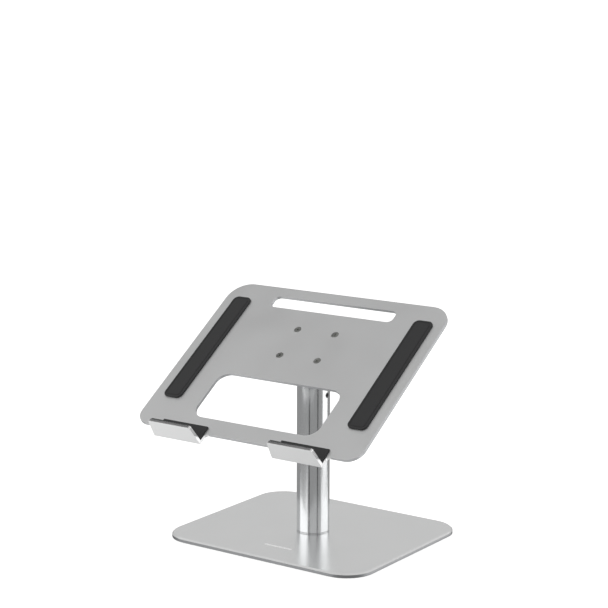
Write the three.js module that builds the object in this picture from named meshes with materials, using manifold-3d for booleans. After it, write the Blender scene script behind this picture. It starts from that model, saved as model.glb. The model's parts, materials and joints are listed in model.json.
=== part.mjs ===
// Desk stand for a laptop: a flat base plate, a round column that swivels on it,
// and a tilting tray with two upturned hooks along its front edge.
// Millimetres, +Z up, front of the stand towards -Y.
import * as THREE from "three";
import { mergeVertices } from "three/addons/utils/BufferGeometryUtils.js";
import Module from "manifold-3d";

// ---------------------------------------------------------------- driving dimensions

// Base plate and its feet
const BASE_WIDTH = 240;
const BASE_DEPTH = 205;
const BASE_THICKNESS = 4.5;
const BASE_CORNER_RADIUS = 31;
const BASE_BEVEL = 1.5;
const FOOT_DIAMETER = 24;
const FOOT_THICKNESS = 1.8;
const FOOT_RECESS_DEPTH = 1;
const FOOT_EDGE_INSET = 22;
const FOOT_EDGE_ROUNDING = 0.4;

// Swivel at the foot of the column
const PIVOT_DIAMETER = 8;
const PIVOT_HEAD_DIAMETER = 15;
const PIVOT_HEAD_RIM = 0.6;
const PIVOT_SOCKET_WIDTH = 5;
const PIVOT_SOCKET_DEPTH = 2.6;
const PIVOT_THREAD_END = 2.5;
const SWIVEL_WASHER_INSET = 0.2;
const SWIVEL_WASHER_THICKNESS = 0.6;
const TOP_WASHER_DIAMETER = 20;
const TOP_WASHER_THICKNESS = 1;
const PIVOT_SPRING_DIAMETER = 18;
const PIVOT_SPRING_HEIGHT = 1.7;
const PIVOT_SPRING_SHEET = 0.9;
const PIVOT_NUT_WIDTH = 13;
const PIVOT_NUT_HEIGHT = 8;

// Column
const COLUMN_DIAMETER = 34;
const COLUMN_WALL = 3;
const COLUMN_LENGTH = 155;
const COLUMN_EDGE_BEVEL = 0.5;
const FOOT_PLUG_HEIGHT = 14;

// Head on the column
const HEAD_PLUG_HEIGHT = 22;
const HEAD_FLANGE_THICKNESS = 4;
const HINGE_RISE = 20;
const LUG_WIDTH = 16;
const LUG_DEPTH = 24;
const GRUB_DIAMETER = 5;
const GRUB_LENGTH = 8;
const GRUB_SOCKET_WIDTH = 2.5;
const GRUB_SOCKET_DEPTH = 2;

// Tilt hinge
const REST_TILT = 34;
const GREATEST_TILT = 45;
const HINGE_BOLT_DIAMETER = 6;
const HINGE_HEAD_DIAMETER = 11;
const HINGE_HEAD_LENGTH = 5;
const HINGE_SOCKET_WIDTH = 4;
const HINGE_SOCKET_DEPTH = 3;
const HINGE_THREAD_END = 2;
const FRICTION_WASHER_DIAMETER = 20;
const FRICTION_WASHER_THICKNESS = 1;
const HINGE_WASHER_DIAMETER = 15;
const HINGE_WASHER_THICKNESS = 1.2;
const HINGE_SPRING_DIAMETER = 14;
const HINGE_SPRING_HEIGHT = 2;
const HINGE_SPRING_SHEET = 1;
const HINGE_NUT_WIDTH = 10;
const HINGE_NUT_HEIGHT = 6;

// Bracket under the tray
const BRACKET_WIDTH = 62;
const BRACKET_DEPTH = 54;
const BRACKET_SHEET = 3;
const BRACKET_CORNER_RADIUS = 6;
const CHEEK_RADIUS = 11;
const CHEEK_DEPTH = 44;
const HINGE_DROP = 17.3;

// Tray
const TRAY_WIDTH = 270;
const TRAY_SHEET = 3;
const TRAY_REACH_FRONT = 135;
const TRAY_REACH_BACK = 75;
const TRAY_FRONT_CORNER = 16;
const TRAY_BACK_CORNER = 24;
const VENT_SIDE_RIM = 60;
const VENT_FRONT_RIM = 20;
const VENT_BACK_RIM = 26;
const VENT_CORNER = 14;
const REAR_SLOT_SIDE_RIM = 60;
const REAR_SLOT_DEPTH = 16;
const REAR_SLOT_CORNER = 6;
const REAR_SLOT_RIM = 13;

// Hooks that stop the laptop at the tray's front edge
const HOOK_WIDTH = 57.5;
const HOOK_SIDE_INSET = 33.85;
const TAB_LENGTH = 12;
const LIP_HEIGHT = 23.6;
const LIP_LEAN = 2;
const LIP_TAPER = 3;
const LIP_CORNER = 1.5;
const BEND_INNER_RADIUS = 0.6;
const BEND_OUTER_RADIUS = 1;
const TAB_FILLET = 4;

// Silicone pads
const PAD_THICKNESS = 1.5;
const STRIP_WIDTH = 22;
const STRIP_EDGE_INSET = 12;
const STRIP_FRONT_INSET = 38;
const STRIP_BACK_INSET = 22;
const STRIP_CORNER = 6;
const HOOK_PAD_LENGTH = 20;
const HOOK_PAD_SIDE_INSET = 1;
const HOOK_PAD_TOP_INSET = 0.8;

// Screws through the tray into the bracket
const SCREW_DIAMETER = 4;
const SCREW_HEAD_DIAMETER = 7.6;
const SCREW_HEAD_RIM = 0.4;
const SCREW_LENGTH = 6;
const SCREW_SPACING_X = 46;
const SCREW_SPACING_Y = 38;
const SCREW_SOCKET_WIDTH = 2.5;
const SCREW_SOCKET_DEPTH = 1.4;

// Clearances
const SEAT_GAP = 0.3; // between a piece and what it is glued or screwed to
const RUNNING_GAP = 0.2; // between faces that slide on each other
const SHAFT_GAP = 0.2; // around a shaft in its hole, on the radius
const PLUG_GAP = 0.1; // around a plug in the tube, on the radius
const STOP_GAP = 0.4; // left at each end of the tilt

// Facets
const ROUND = 48;
const SMALL_ROUND = 24;
const TINY_ROUND = 16;
const CORNER_FACETS = 8;
const GRID = 1024; // steps in a millimetre that corners are kept on, so level faces stay level

// ---------------------------------------------------------------- derived places

const FOOT_STAND = FOOT_THICKNESS - FOOT_RECESS_DEPTH;
const BASE_TOP = FOOT_STAND + BASE_THICKNESS;
const COLUMN_FOOT = BASE_TOP + SWIVEL_WASHER_THICKNESS + RUNNING_GAP;
const COLUMN_TOP = COLUMN_FOOT + COLUMN_LENGTH;
const COLUMN_RADIUS = COLUMN_DIAMETER / 2;
const COLUMN_BORE_RADIUS = COLUMN_RADIUS - COLUMN_WALL;
const PLUG_RADIUS = COLUMN_BORE_RADIUS - PLUG_GAP;
const FLANGE_TOP = COLUMN_TOP + HEAD_FLANGE_THICKNESS;
const HINGE_HEIGHT = FLANGE_TOP + HINGE_RISE;
const STOP_DISTANCE = HINGE_DROP - SEAT_GAP - BRACKET_SHEET - STOP_GAP;
const CHEEK_INNER = LUG_WIDTH / 2 + FRICTION_WASHER_THICKNESS + 2 * RUNNING_GAP;
const CHEEK_OUTER = CHEEK_INNER + BRACKET_SHEET;
const TRAY_UNDERSIDE = HINGE_DROP;
const TRAY_TOP = TRAY_UNDERSIDE + TRAY_SHEET;
const HOOK_REACH = TRAY_REACH_FRONT + TAB_LENGTH;
const HOOK_CENTRE = TRAY_WIDTH / 2 - HOOK_SIDE_INSET - HOOK_WIDTH / 2;
const CUT_MARGIN = 1;

// ---------------------------------------------------------------- solid helpers

const wasm = await Module();
wasm.setup();

/** The same geometry with its corners moved to the grid. */
function onGrid(geometry) {
  const corners = geometry.attributes.position.array;
  for (let i = 0; i < corners.length; i += 1) {
    corners[i] = Math.round(corners[i] * GRID) / GRID;
  }
  return geometry;
}

/** A closed geometry as a solid that can be joined and cut. */
function solidOf(geometry) {
  const bare = geometry.index ? geometry.toNonIndexed() : geometry.clone();
  bare.deleteAttribute("normal");
  bare.deleteAttribute("uv");
  const merged = mergeVertices(onGrid(bare), 1e-4);
  return new wasm.Manifold(
    new wasm.Mesh({
      numProp: 3,
      vertProperties: new Float32Array(merged.attributes.position.array),
      triVerts: new Uint32Array(merged.index.array),
    }),
  );
}

/** A solid back as a three.js geometry with flat faces. */
function geometryOf(solid) {
  const mesh = solid.getMesh();
  const indexed = new THREE.BufferGeometry();
  indexed.setAttribute("position", new THREE.BufferAttribute(mesh.vertProperties, 3));
  indexed.setIndex(new THREE.BufferAttribute(mesh.triVerts, 1));
  const flat = indexed.toNonIndexed();
  flat.computeVertexNormals();
  return flat;
}

/** The first geometry with every other one cut out of it. */
function cut(body, ...tools) {
  return geometryOf(tools.reduce((left, tool) => left.subtract(solidOf(tool)), solidOf(body)));
}

/** Geometries joined into one. */
function join(first, ...others) {
  return geometryOf(others.reduce((sum, other) => sum.add(solidOf(other)), solidOf(first)));
}

/** The space that two geometries share. */
function common(first, second) {
  return geometryOf(solidOf(first).intersect(solidOf(second)));
}

/** Draws round a corner centred on x and y, from one quarter turn to the next. */
function quarter(shape, x, y, radius, quarterTurns) {
  const from = (quarterTurns * Math.PI) / 2;
  shape.absarc(x, y, radius, from, from + Math.PI / 2);
}

/** A rectangle round the origin with rounded corners. */
function roundedRectangle(width, depth, radius) {
  const x = width / 2 - radius;
  const y = depth / 2 - radius;
  const shape = new THREE.Shape();
  quarter(shape, x, -y, radius, -1);
  quarter(shape, x, y, radius, 0);
  quarter(shape, -x, y, radius, 1);
  quarter(shape, -x, -y, radius, 2);
  return shape;
}

/** A shape drawn in X and Y, raised by a height from z = bottom. */
function prism(shape, height, bottom = 0) {
  const geometry = new THREE.ExtrudeGeometry(shape, {
    depth: height,
    bevelEnabled: false,
    curveSegments: CORNER_FACETS,
  });
  return geometry.translate(0, 0, bottom);
}

/** A shape drawn in Y and Z, carried along X from one place to another. */
function prismAlongX(shape, from, to) {
  const geometry = new THREE.ExtrudeGeometry(shape, {
    depth: to - from,
    bevelEnabled: false,
    curveSegments: CORNER_FACETS,
  });
  const turn = new THREE.Matrix4().makeBasis(
    new THREE.Vector3(0, 1, 0),
    new THREE.Vector3(0, 0, 1),
    new THREE.Vector3(1, 0, 0),
  );
  return geometry.applyMatrix4(turn).translate(from, 0, 0);
}

/** A shape drawn in X and Z, carried along Y from one place to another. */
function prismAlongY(shape, from, to) {
  const geometry = new THREE.ExtrudeGeometry(shape, {
    depth: to - from,
    bevelEnabled: false,
    curveSegments: CORNER_FACETS,
  });
  return geometry.rotateX(Math.PI / 2).translate(0, to, 0);
}

/** A profile of [radius, height] points turned about the Z axis. */
function turned(profile, facets = SMALL_ROUND) {
  const points = profile.map(([radius, height]) => new THREE.Vector2(radius, height));
  return new THREE.LatheGeometry(points, facets).rotateX(Math.PI / 2);
}

/** A plain round bar standing on z = bottom. */
function bar(diameter, height, bottom = 0, facets = SMALL_ROUND) {
  const radius = diameter / 2;
  return turned(
    [
      [0, bottom],
      [radius, bottom],
      [radius, bottom + height],
      [0, bottom + height],
    ],
    facets,
  );
}

/** A flat ring standing on z = bottom. */
function ring(outer, inner, height, bottom = 0, facets = SMALL_ROUND) {
  return turned(
    [
      [inner / 2, bottom],
      [outer / 2, bottom],
      [outer / 2, bottom + height],
      [inner / 2, bottom + height],
      [inner / 2, bottom],
    ],
    facets,
  );
}

/** A coned ring, as a disc spring is, standing on z = bottom. */
function conedRing(outer, inner, height, sheet, bottom = 0) {
  return turned([
    [outer / 2, bottom],
    [outer / 2, bottom + sheet],
    [inner / 2, bottom + height],
    [inner / 2, bottom + height - sheet],
    [outer / 2, bottom],
  ]);
}

/** A six-sided bar, measured across its flats, standing on z = bottom. */
function hexBar(acrossFlats, height, bottom = 0) {
  const corner = acrossFlats / 2 / Math.cos(Math.PI / 6);
  return new THREE.CylinderGeometry(corner, corner, height, 6)
    .rotateX(Math.PI / 2)
    .translate(0, 0, bottom + height / 2);
}

/** Laid over from standing along +Z to lying along +X. */
function alongX(geometry) {
  return geometry.rotateY(Math.PI / 2);
}

// ---------------------------------------------------------------- materials

/** A fresh material for one mesh. */
function finish(color, roughness, metalness) {
  return new THREE.MeshStandardMaterial({ color, roughness, metalness });
}

const satinAluminium = () => finish(0xc3c3c3, 0.42, 1);
const brushedAluminium = () => finish(0xb9babb, 0.28, 1);
const zincSteel = () => finish(0xa9aaa8, 0.35, 1);
const blackSteel = () => finish(0x2b2c2e, 0.45, 0.9);
const nylon = () => finish(0xe6e3da, 0.6, 0);
const blackSilicone = () => finish(0x1b1b1c, 0.85, 0);
const greyRubber = () => finish(0x3c3d3f, 0.9, 0);

/** One named mesh. */
function piece(name, geometry, material) {
  const mesh = new THREE.Mesh(onGrid(geometry), material);
  mesh.name = name;
  return mesh;
}

// ---------------------------------------------------------------- base

/** The centres of the four feet, seen from above. */
function footPlaces() {
  const x = BASE_WIDTH / 2 - FOOT_EDGE_INSET;
  const y = BASE_DEPTH / 2 - FOOT_EDGE_INSET;
  return [
    ["front_left", -x, -y],
    ["front_right", x, -y],
    ["back_left", -x, y],
    ["back_right", x, y],
  ];
}

/** Plate with a bevelled top edge, recesses for the feet and a countersunk pivot hole. */
function basePlateGeometry() {
  const outline = roundedRectangle(BASE_WIDTH, BASE_DEPTH, BASE_CORNER_RADIUS);
  const bevelled = new THREE.ExtrudeGeometry(outline, {
    depth: BASE_THICKNESS,
    bevelEnabled: true,
    bevelThickness: BASE_BEVEL,
    bevelSize: BASE_BEVEL,
    bevelOffset: -BASE_BEVEL,
    bevelSegments: 1,
    curveSegments: CORNER_FACETS,
  }).translate(0, 0, FOOT_STAND - BASE_BEVEL);
  const below = new THREE.BoxGeometry(2 * BASE_WIDTH, 2 * BASE_DEPTH, 2 * BASE_BEVEL);
  below.translate(0, 0, FOOT_STAND - BASE_BEVEL);
  const recesses = footPlaces().map(([, x, y]) =>
    bar(FOOT_DIAMETER + 2 * SEAT_GAP, FOOT_RECESS_DEPTH + CUT_MARGIN, FOOT_STAND - CUT_MARGIN)
      .translate(x, y, 0),
  );
  const headRadius = PIVOT_HEAD_DIAMETER / 2 + SEAT_GAP;
  const shankRadius = PIVOT_DIAMETER / 2 + SHAFT_GAP;
  const rim = FOOT_STAND + PIVOT_HEAD_RIM;
  const pivotHole = turned([
    [0, FOOT_STAND - CUT_MARGIN],
    [headRadius, FOOT_STAND - CUT_MARGIN],
    [headRadius, rim],
    [shankRadius, rim + headRadius - shankRadius],
    [shankRadius, BASE_TOP + CUT_MARGIN],
    [0, BASE_TOP + CUT_MARGIN],
  ]);
  return cut(bevelled, below, ...recesses, pivotHole);
}

/** Round pad with a softened edge where it meets the desk. */
function footGeometry() {
  const radius = FOOT_DIAMETER / 2;
  return turned([
    [0, 0],
    [radius - FOOT_EDGE_ROUNDING, 0],
    [radius, FOOT_EDGE_ROUNDING],
    [radius, FOOT_THICKNESS],
    [0, FOOT_THICKNESS],
  ]);
}

const pivotStackBottom = COLUMN_FOOT + FOOT_PLUG_HEIGHT + RUNNING_GAP;
const pivotSpringBottom = pivotStackBottom + TOP_WASHER_THICKNESS;
const pivotNutBottom = pivotSpringBottom + PIVOT_SPRING_HEIGHT;
const pivotBoltEnd = pivotNutBottom + PIVOT_NUT_HEIGHT + PIVOT_THREAD_END;

/** Countersunk bolt, head down in the base plate, with a hexagon socket. */
function pivotBoltGeometry() {
  const head = PIVOT_HEAD_DIAMETER / 2;
  const shank = PIVOT_DIAMETER / 2;
  const rim = FOOT_STAND + PIVOT_HEAD_RIM;
  const body = turned([
    [0, FOOT_STAND],
    [head, FOOT_STAND],
    [head, rim],
    [shank, rim + head - shank],
    [shank, pivotBoltEnd],
    [0, pivotBoltEnd],
  ]);
  const socket = hexBar(
    PIVOT_SOCKET_WIDTH,
    PIVOT_SOCKET_DEPTH + CUT_MARGIN,
    FOOT_STAND - CUT_MARGIN,
  );
  return cut(body, socket);
}

/** Everything that stays still on the desk. */
function base() {
  const group = new THREE.Group();
  group.add(piece("base_plate", basePlateGeometry(), satinAluminium()));
  for (const [corner, x, y] of footPlaces()) {
    const foot = piece(`foot_${corner}`, footGeometry(), greyRubber());
    foot.position.set(x, y, 0);
    group.add(foot);
  }
  const hole = PIVOT_DIAMETER + 2 * SHAFT_GAP;
  group.add(
    piece("pivot_bolt", pivotBoltGeometry(), zincSteel()),
    piece(
      "swivel_washer",
      ring(
        COLUMN_DIAMETER - 2 * SWIVEL_WASHER_INSET,
        hole,
        SWIVEL_WASHER_THICKNESS,
        BASE_TOP,
        ROUND,
      ),
      brushedAluminium(),
    ),
    piece(
      "swivel_top_washer",
      ring(TOP_WASHER_DIAMETER, hole, TOP_WASHER_THICKNESS, pivotStackBottom),
      nylon(),
    ),
    piece(
      "swivel_disc_spring",
      conedRing(
        PIVOT_SPRING_DIAMETER,
        hole,
        PIVOT_SPRING_HEIGHT,
        PIVOT_SPRING_SHEET,
        pivotSpringBottom,
      ),
      zincSteel(),
    ),
    piece(
      "pivot_nut",
      cut(
        hexBar(PIVOT_NUT_WIDTH, PIVOT_NUT_HEIGHT, pivotNutBottom),
        bar(hole, PIVOT_NUT_HEIGHT + 2 * CUT_MARGIN, pivotNutBottom - CUT_MARGIN),
      ),
      zincSteel(),
    ),
  );
  return group;
}

// ---------------------------------------------------------------- column

const grubHeight = COLUMN_TOP - HEAD_PLUG_HEIGHT / 2;

/** Room for both grub screws, lying along X through the tube and into the head. */
function grubHole() {
  const length = COLUMN_DIAMETER + 2 * CUT_MARGIN;
  return alongX(bar(GRUB_DIAMETER + 2 * SHAFT_GAP, length, -length / 2, TINY_ROUND))
    .translate(0, 0, grubHeight);
}

/** Plain round tube with softened end edges. */
function columnTubeGeometry() {
  const tube = turned(
    [
      [COLUMN_BORE_RADIUS, COLUMN_FOOT],
      [COLUMN_RADIUS - COLUMN_EDGE_BEVEL, COLUMN_FOOT],
      [COLUMN_RADIUS, COLUMN_FOOT + COLUMN_EDGE_BEVEL],
      [COLUMN_RADIUS, COLUMN_TOP - COLUMN_EDGE_BEVEL],
      [COLUMN_RADIUS - COLUMN_EDGE_BEVEL, COLUMN_TOP],
      [COLUMN_BORE_RADIUS, COLUMN_TOP],
      [COLUMN_BORE_RADIUS, COLUMN_FOOT],
    ],
    ROUND,
  );
  return cut(tube, grubHole());
}

/** The head's side view: a lug whose two flat stops end the tilt, joined by a round. */
function lugShape() {
  const back = LUG_DEPTH / 2;
  const front = -LUG_DEPTH / 2;
  const reach = STOP_DISTANCE;
  const steep = THREE.MathUtils.degToRad(GREATEST_TILT);
  const shape = new THREE.Shape();
  shape.moveTo(front, -HINGE_RISE - CUT_MARGIN);
  shape.lineTo(back, -HINGE_RISE - CUT_MARGIN);
  shape.lineTo(back, reach);
  shape.lineTo(0, reach);
  shape.absarc(0, 0, reach, Math.PI / 2, Math.PI / 2 + steep);
  shape.lineTo(front, (reach + front * Math.sin(steep)) / Math.cos(steep));
  return shape;
}

/** Plug in the tube, flange on its end and the lug that carries the tilt hinge. */
function columnHeadGeometry() {
  const spigot = turned(
    [
      [0, COLUMN_TOP - HEAD_PLUG_HEIGHT],
      [PLUG_RADIUS, COLUMN_TOP - HEAD_PLUG_HEIGHT],
      [PLUG_RADIUS, COLUMN_TOP],
      [COLUMN_RADIUS - COLUMN_EDGE_BEVEL, COLUMN_TOP],
      [COLUMN_RADIUS, COLUMN_TOP + COLUMN_EDGE_BEVEL],
      [COLUMN_RADIUS, FLANGE_TOP - COLUMN_EDGE_BEVEL],
      [COLUMN_RADIUS - COLUMN_EDGE_BEVEL, FLANGE_TOP],
      [0, FLANGE_TOP],
    ],
    ROUND,
  );
  const lug = prismAlongX(lugShape(), -LUG_WIDTH / 2, LUG_WIDTH / 2).translate(0, 0, HINGE_HEIGHT);
  const hingeHole = alongX(
    bar(HINGE_BOLT_DIAMETER + 2 * SHAFT_GAP, 2 * LUG_WIDTH, -LUG_WIDTH),
  ).translate(0, 0, HINGE_HEIGHT);
  return cut(join(spigot, lug), hingeHole, grubHole());
}

/** Socket grub screw lying along X, its socket flush with the tube's outside at +X. */
function grubGeometry() {
  const end = COLUMN_RADIUS - SEAT_GAP;
  const body = bar(GRUB_DIAMETER, GRUB_LENGTH, end - GRUB_LENGTH, TINY_ROUND);
  const socket = hexBar(
    GRUB_SOCKET_WIDTH,
    GRUB_SOCKET_DEPTH + CUT_MARGIN,
    end - GRUB_SOCKET_DEPTH,
  );
  return alongX(cut(body, socket));
}

/** The column with its two end plugs and what fixes them. */
function column() {
  const group = new THREE.Group();
  group.add(
    piece("column_tube", columnTubeGeometry(), brushedAluminium()),
    piece(
      "column_foot_plug",
      ring(
        2 * PLUG_RADIUS,
        PIVOT_DIAMETER + 2 * SHAFT_GAP,
        FOOT_PLUG_HEIGHT,
        COLUMN_FOOT,
        ROUND,
      ),
      zincSteel(),
    ),
    piece("column_head", columnHeadGeometry(), satinAluminium()),
  );
  for (const [side, turn] of [["right", 0], ["left", Math.PI]]) {
    const grub = piece(`head_grub_${side}`, grubGeometry(), blackSteel());
    grub.position.z = grubHeight;
    grub.rotation.z = turn;
    group.add(grub);
  }
  return group;
}

// ---------------------------------------------------------------- tray
// Drawn flat, with the hinge axis at the origin. The group is then tilted and raised.

/** The four screws' places round the hinge, with a name for each corner. */
function screwPlaces() {
  const x = SCREW_SPACING_X / 2;
  const y = SCREW_SPACING_Y / 2;
  return [
    ["front_left", -x, -y],
    ["front_right", x, -y],
    ["back_left", -x, y],
    ["back_right", x, y],
  ];
}

/** A cheek's side view: wide under the bracket's plate, round about the hinge axis. */
function cheekShape(top) {
  const half = CHEEK_DEPTH / 2;
  const touch = Math.atan2(top, half) - Math.acos(CHEEK_RADIUS / Math.hypot(half, top));
  const touchY = CHEEK_RADIUS * Math.cos(touch);
  const touchZ = CHEEK_RADIUS * Math.sin(touch);
  const shape = new THREE.Shape();
  shape.moveTo(-half, top);
  shape.lineTo(-touchY, touchZ);
  shape.absarc(0, 0, CHEEK_RADIUS, Math.PI - touch, 2 * Math.PI + touch);
  shape.lineTo(half, top);
  return shape;
}

/** Bent steel bracket: a plate under the tray and a cheek on each side of the lug. */
function bracketGeometry() {
  const top = TRAY_UNDERSIDE - SEAT_GAP;
  const bottom = top - BRACKET_SHEET;
  const plate = prism(
    roundedRectangle(BRACKET_WIDTH, BRACKET_DEPTH, BRACKET_CORNER_RADIUS),
    BRACKET_SHEET,
    bottom,
  );
  const shape = cheekShape(bottom + BRACKET_SHEET / 2);
  const cheeks = [
    prismAlongX(shape, CHEEK_INNER, CHEEK_OUTER),
    prismAlongX(shape, -CHEEK_OUTER, -CHEEK_INNER),
  ];
  const hingeHole = alongX(
    bar(HINGE_BOLT_DIAMETER + 2 * SHAFT_GAP, 4 * CHEEK_OUTER, -2 * CHEEK_OUTER),
  );
  const screwHoles = screwPlaces().map(([, x, y]) =>
    bar(SCREW_DIAMETER + 2 * SHAFT_GAP, 4 * BRACKET_SHEET, bottom - BRACKET_SHEET, TINY_ROUND)
      .translate(x, y, 0),
  );
  return cut(join(plate, ...cheeks), hingeHole, ...screwHoles);
}

/** Draws one tab, with a fillet where it leaves the front edge and where it comes back. */
function drawTab(shape, from, to) {
  const edge = -TRAY_REACH_FRONT;
  const tabEnd = -HOOK_REACH + BEND_INNER_RADIUS + TRAY_SHEET;
  shape.lineTo(from - TAB_FILLET, edge);
  shape.quadraticCurveTo(from, edge, from, edge - TAB_FILLET);
  shape.lineTo(from, tabEnd);
  shape.lineTo(to, tabEnd);
  shape.lineTo(to, edge - TAB_FILLET);
  shape.quadraticCurveTo(to, edge, to + TAB_FILLET, edge);
}

/** Seen from above: the sheet with both tabs on its front edge, its vent and its rear slot. */
function trayShape() {
  const half = TRAY_WIDTH / 2;
  const front = -TRAY_REACH_FRONT;
  const back = TRAY_REACH_BACK;
  const shape = new THREE.Shape();
  shape.moveTo(-half + TRAY_FRONT_CORNER, front);
  for (const side of [-1, 1]) {
    const centre = side * HOOK_CENTRE;
    drawTab(shape, centre - HOOK_WIDTH / 2, centre + HOOK_WIDTH / 2);
  }
  const frontCorner = TRAY_FRONT_CORNER;
  const backCorner = TRAY_BACK_CORNER;
  quarter(shape, half - frontCorner, front + frontCorner, frontCorner, -1);
  quarter(shape, half - backCorner, back - backCorner, backCorner, 0);
  quarter(shape, -half + backCorner, back - backCorner, backCorner, 1);
  quarter(shape, -half + frontCorner, front + frontCorner, frontCorner, 2);
  return shape;
}

/** A hook's side view: the end of its tab, a bend and an upturned lip. */
function hookShape(top) {
  const lean = THREE.MathUtils.degToRad(LIP_LEAN);
  const outer = BEND_INNER_RADIUS + TRAY_SHEET;
  const bendY = -HOOK_REACH + outer;
  const bendZ = TRAY_UNDERSIDE + outer;
  const rise = top - bendZ;
  const shape = new THREE.Shape();
  shape.moveTo(bendY + CUT_MARGIN, TRAY_UNDERSIDE);
  shape.lineTo(bendY + CUT_MARGIN, TRAY_TOP);
  shape.lineTo(bendY, TRAY_TOP);
  shape.absarc(bendY, bendZ, BEND_INNER_RADIUS, 1.5 * Math.PI, Math.PI + lean, true);
  const slide = Math.tan(lean) * rise;
  const turnY = Math.cos(lean);
  shape.lineTo(bendY - BEND_INNER_RADIUS * turnY - slide, top);
  shape.lineTo(bendY - outer * turnY - slide, top);
  const inward = ((outer - BEND_OUTER_RADIUS) * (1 - Math.sin(lean))) / Math.cos(lean);
  shape.absarc(
    bendY - inward,
    TRAY_UNDERSIDE + BEND_OUTER_RADIUS,
    BEND_OUTER_RADIUS,
    Math.PI + lean,
    1.5 * Math.PI,
    false,
  );
  return shape;
}

/** A pad's side view: it lines a hook's tab, its bend and its lip. */
function hookPadShape(reach, top) {
  const lean = THREE.MathUtils.degToRad(LIP_LEAN);
  const near = TRAY_SHEET + SEAT_GAP;
  const far = near + PAD_THICKNESS;
  const lipFoot = -HOOK_REACH;
  const floor = TRAY_UNDERSIDE;
  const lineAt = (offset, z) => lipFoot + offset - Math.tan(lean) * (z - floor);
  const soft = BEND_INNER_RADIUS + SEAT_GAP;
  const shape = new THREE.Shape();
  shape.moveTo(reach, floor + near);
  shape.lineTo(reach, floor + far);
  shape.lineTo(lineAt(far, floor + far), floor + far);
  shape.lineTo(lineAt(far, top), top);
  shape.lineTo(lineAt(near, top), top);
  shape.lineTo(lineAt(near, floor + near + soft), floor + near + soft);
  shape.lineTo(lineAt(near + soft, floor + near), floor + near);
  return shape;
}

/** Front view of a hook: square below, with its lip narrowing to rounded top corners. */
function lipOutline(width, height) {
  const half = width / 2;
  const top = TRAY_UNDERSIDE + height;
  const shape = new THREE.Shape();
  const below = TRAY_UNDERSIDE - CUT_MARGIN;
  const taperStart = TRAY_TOP + BEND_INNER_RADIUS;
  const topHalf = half - LIP_TAPER;
  const rise = top - taperStart;
  const side = Math.hypot(LIP_TAPER, rise);
  const along = new THREE.Vector2(-LIP_TAPER / side, rise / side);
  const corner = new THREE.Vector2(topHalf, top);
  const low = corner.clone().addScaledVector(along, -LIP_CORNER);
  shape.moveTo(-half, below);
  shape.lineTo(half, below);
  shape.lineTo(half, taperStart);
  shape.lineTo(low.x, low.y);
  shape.quadraticCurveTo(corner.x, corner.y, corner.x - LIP_CORNER, corner.y);
  shape.lineTo(-corner.x + LIP_CORNER, corner.y);
  shape.quadraticCurveTo(-corner.x, corner.y, -low.x, low.y);
  shape.lineTo(-half, taperStart);
  return shape;
}

/** The bend and lip of one hook, round x = centre. */
function hookGeometry(centre) {
  const half = HOOK_WIDTH / 2 + CUT_MARGIN;
  const side = hookShape(TRAY_UNDERSIDE + LIP_HEIGHT + CUT_MARGIN);
  const bent = prismAlongX(side, -half, half);
  const outline = lipOutline(HOOK_WIDTH, LIP_HEIGHT);
  const window = prismAlongY(outline, -HOOK_REACH - LIP_HEIGHT, -TRAY_REACH_FRONT);
  return common(bent, window).translate(centre, 0, 0);
}

/** Sheet tray with both hooks, its vents and four countersunk screw holes. */
function trayGeometry() {
  const sheet = prism(trayShape(), TRAY_SHEET, TRAY_UNDERSIDE);
  const ventFront = -TRAY_REACH_FRONT + VENT_FRONT_RIM;
  const ventBack = -BRACKET_DEPTH / 2 - VENT_BACK_RIM;
  const vent = prism(
    roundedRectangle(TRAY_WIDTH - 2 * VENT_SIDE_RIM, ventBack - ventFront, VENT_CORNER),
    TRAY_SHEET + 2 * CUT_MARGIN,
    TRAY_UNDERSIDE - CUT_MARGIN,
  ).translate(0, (ventFront + ventBack) / 2, 0);
  const rearSlot = prism(
    roundedRectangle(
      TRAY_WIDTH - 2 * REAR_SLOT_SIDE_RIM,
      REAR_SLOT_DEPTH,
      REAR_SLOT_CORNER,
    ),
    TRAY_SHEET + 2 * CUT_MARGIN,
    TRAY_UNDERSIDE - CUT_MARGIN,
  ).translate(0, TRAY_REACH_BACK - REAR_SLOT_RIM - REAR_SLOT_DEPTH / 2, 0);
  const head = SCREW_HEAD_DIAMETER / 2 + SHAFT_GAP;
  const shank = SCREW_DIAMETER / 2 + SHAFT_GAP;
  const screwHoles = screwPlaces().map(([, x, y]) =>
    turned(
      [
        [0, TRAY_UNDERSIDE - CUT_MARGIN],
        [shank, TRAY_UNDERSIDE - CUT_MARGIN],
        [shank, TRAY_TOP - SCREW_HEAD_RIM - SEAT_GAP - (head - shank)],
        [head, TRAY_TOP - SCREW_HEAD_RIM - SEAT_GAP],
        [head, TRAY_TOP + CUT_MARGIN],
        [0, TRAY_TOP + CUT_MARGIN],
      ],
      TINY_ROUND,
    ).translate(x, y, 0),
  );
  const hooks = [-1, 1].map((side) => hookGeometry(side * HOOK_CENTRE));
  return cut(join(sheet, ...hooks), vent, rearSlot, ...screwHoles);
}

/** Countersunk socket screw, its head flush with the tray's top. */
function screwGeometry() {
  const head = SCREW_HEAD_DIAMETER / 2;
  const shank = SCREW_DIAMETER / 2;
  const top = TRAY_TOP;
  const body = turned(
    [
      [0, top - SCREW_LENGTH],
      [shank, top - SCREW_LENGTH],
      [shank, top - SCREW_HEAD_RIM - (head - shank)],
      [head, top - SCREW_HEAD_RIM],
      [head, top],
      [0, top],
    ],
    TINY_ROUND,
  );
  const socket = hexBar(
    SCREW_SOCKET_WIDTH,
    SCREW_SOCKET_DEPTH + CUT_MARGIN,
    top - SCREW_SOCKET_DEPTH,
  );
  return cut(body, socket);
}

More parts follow.
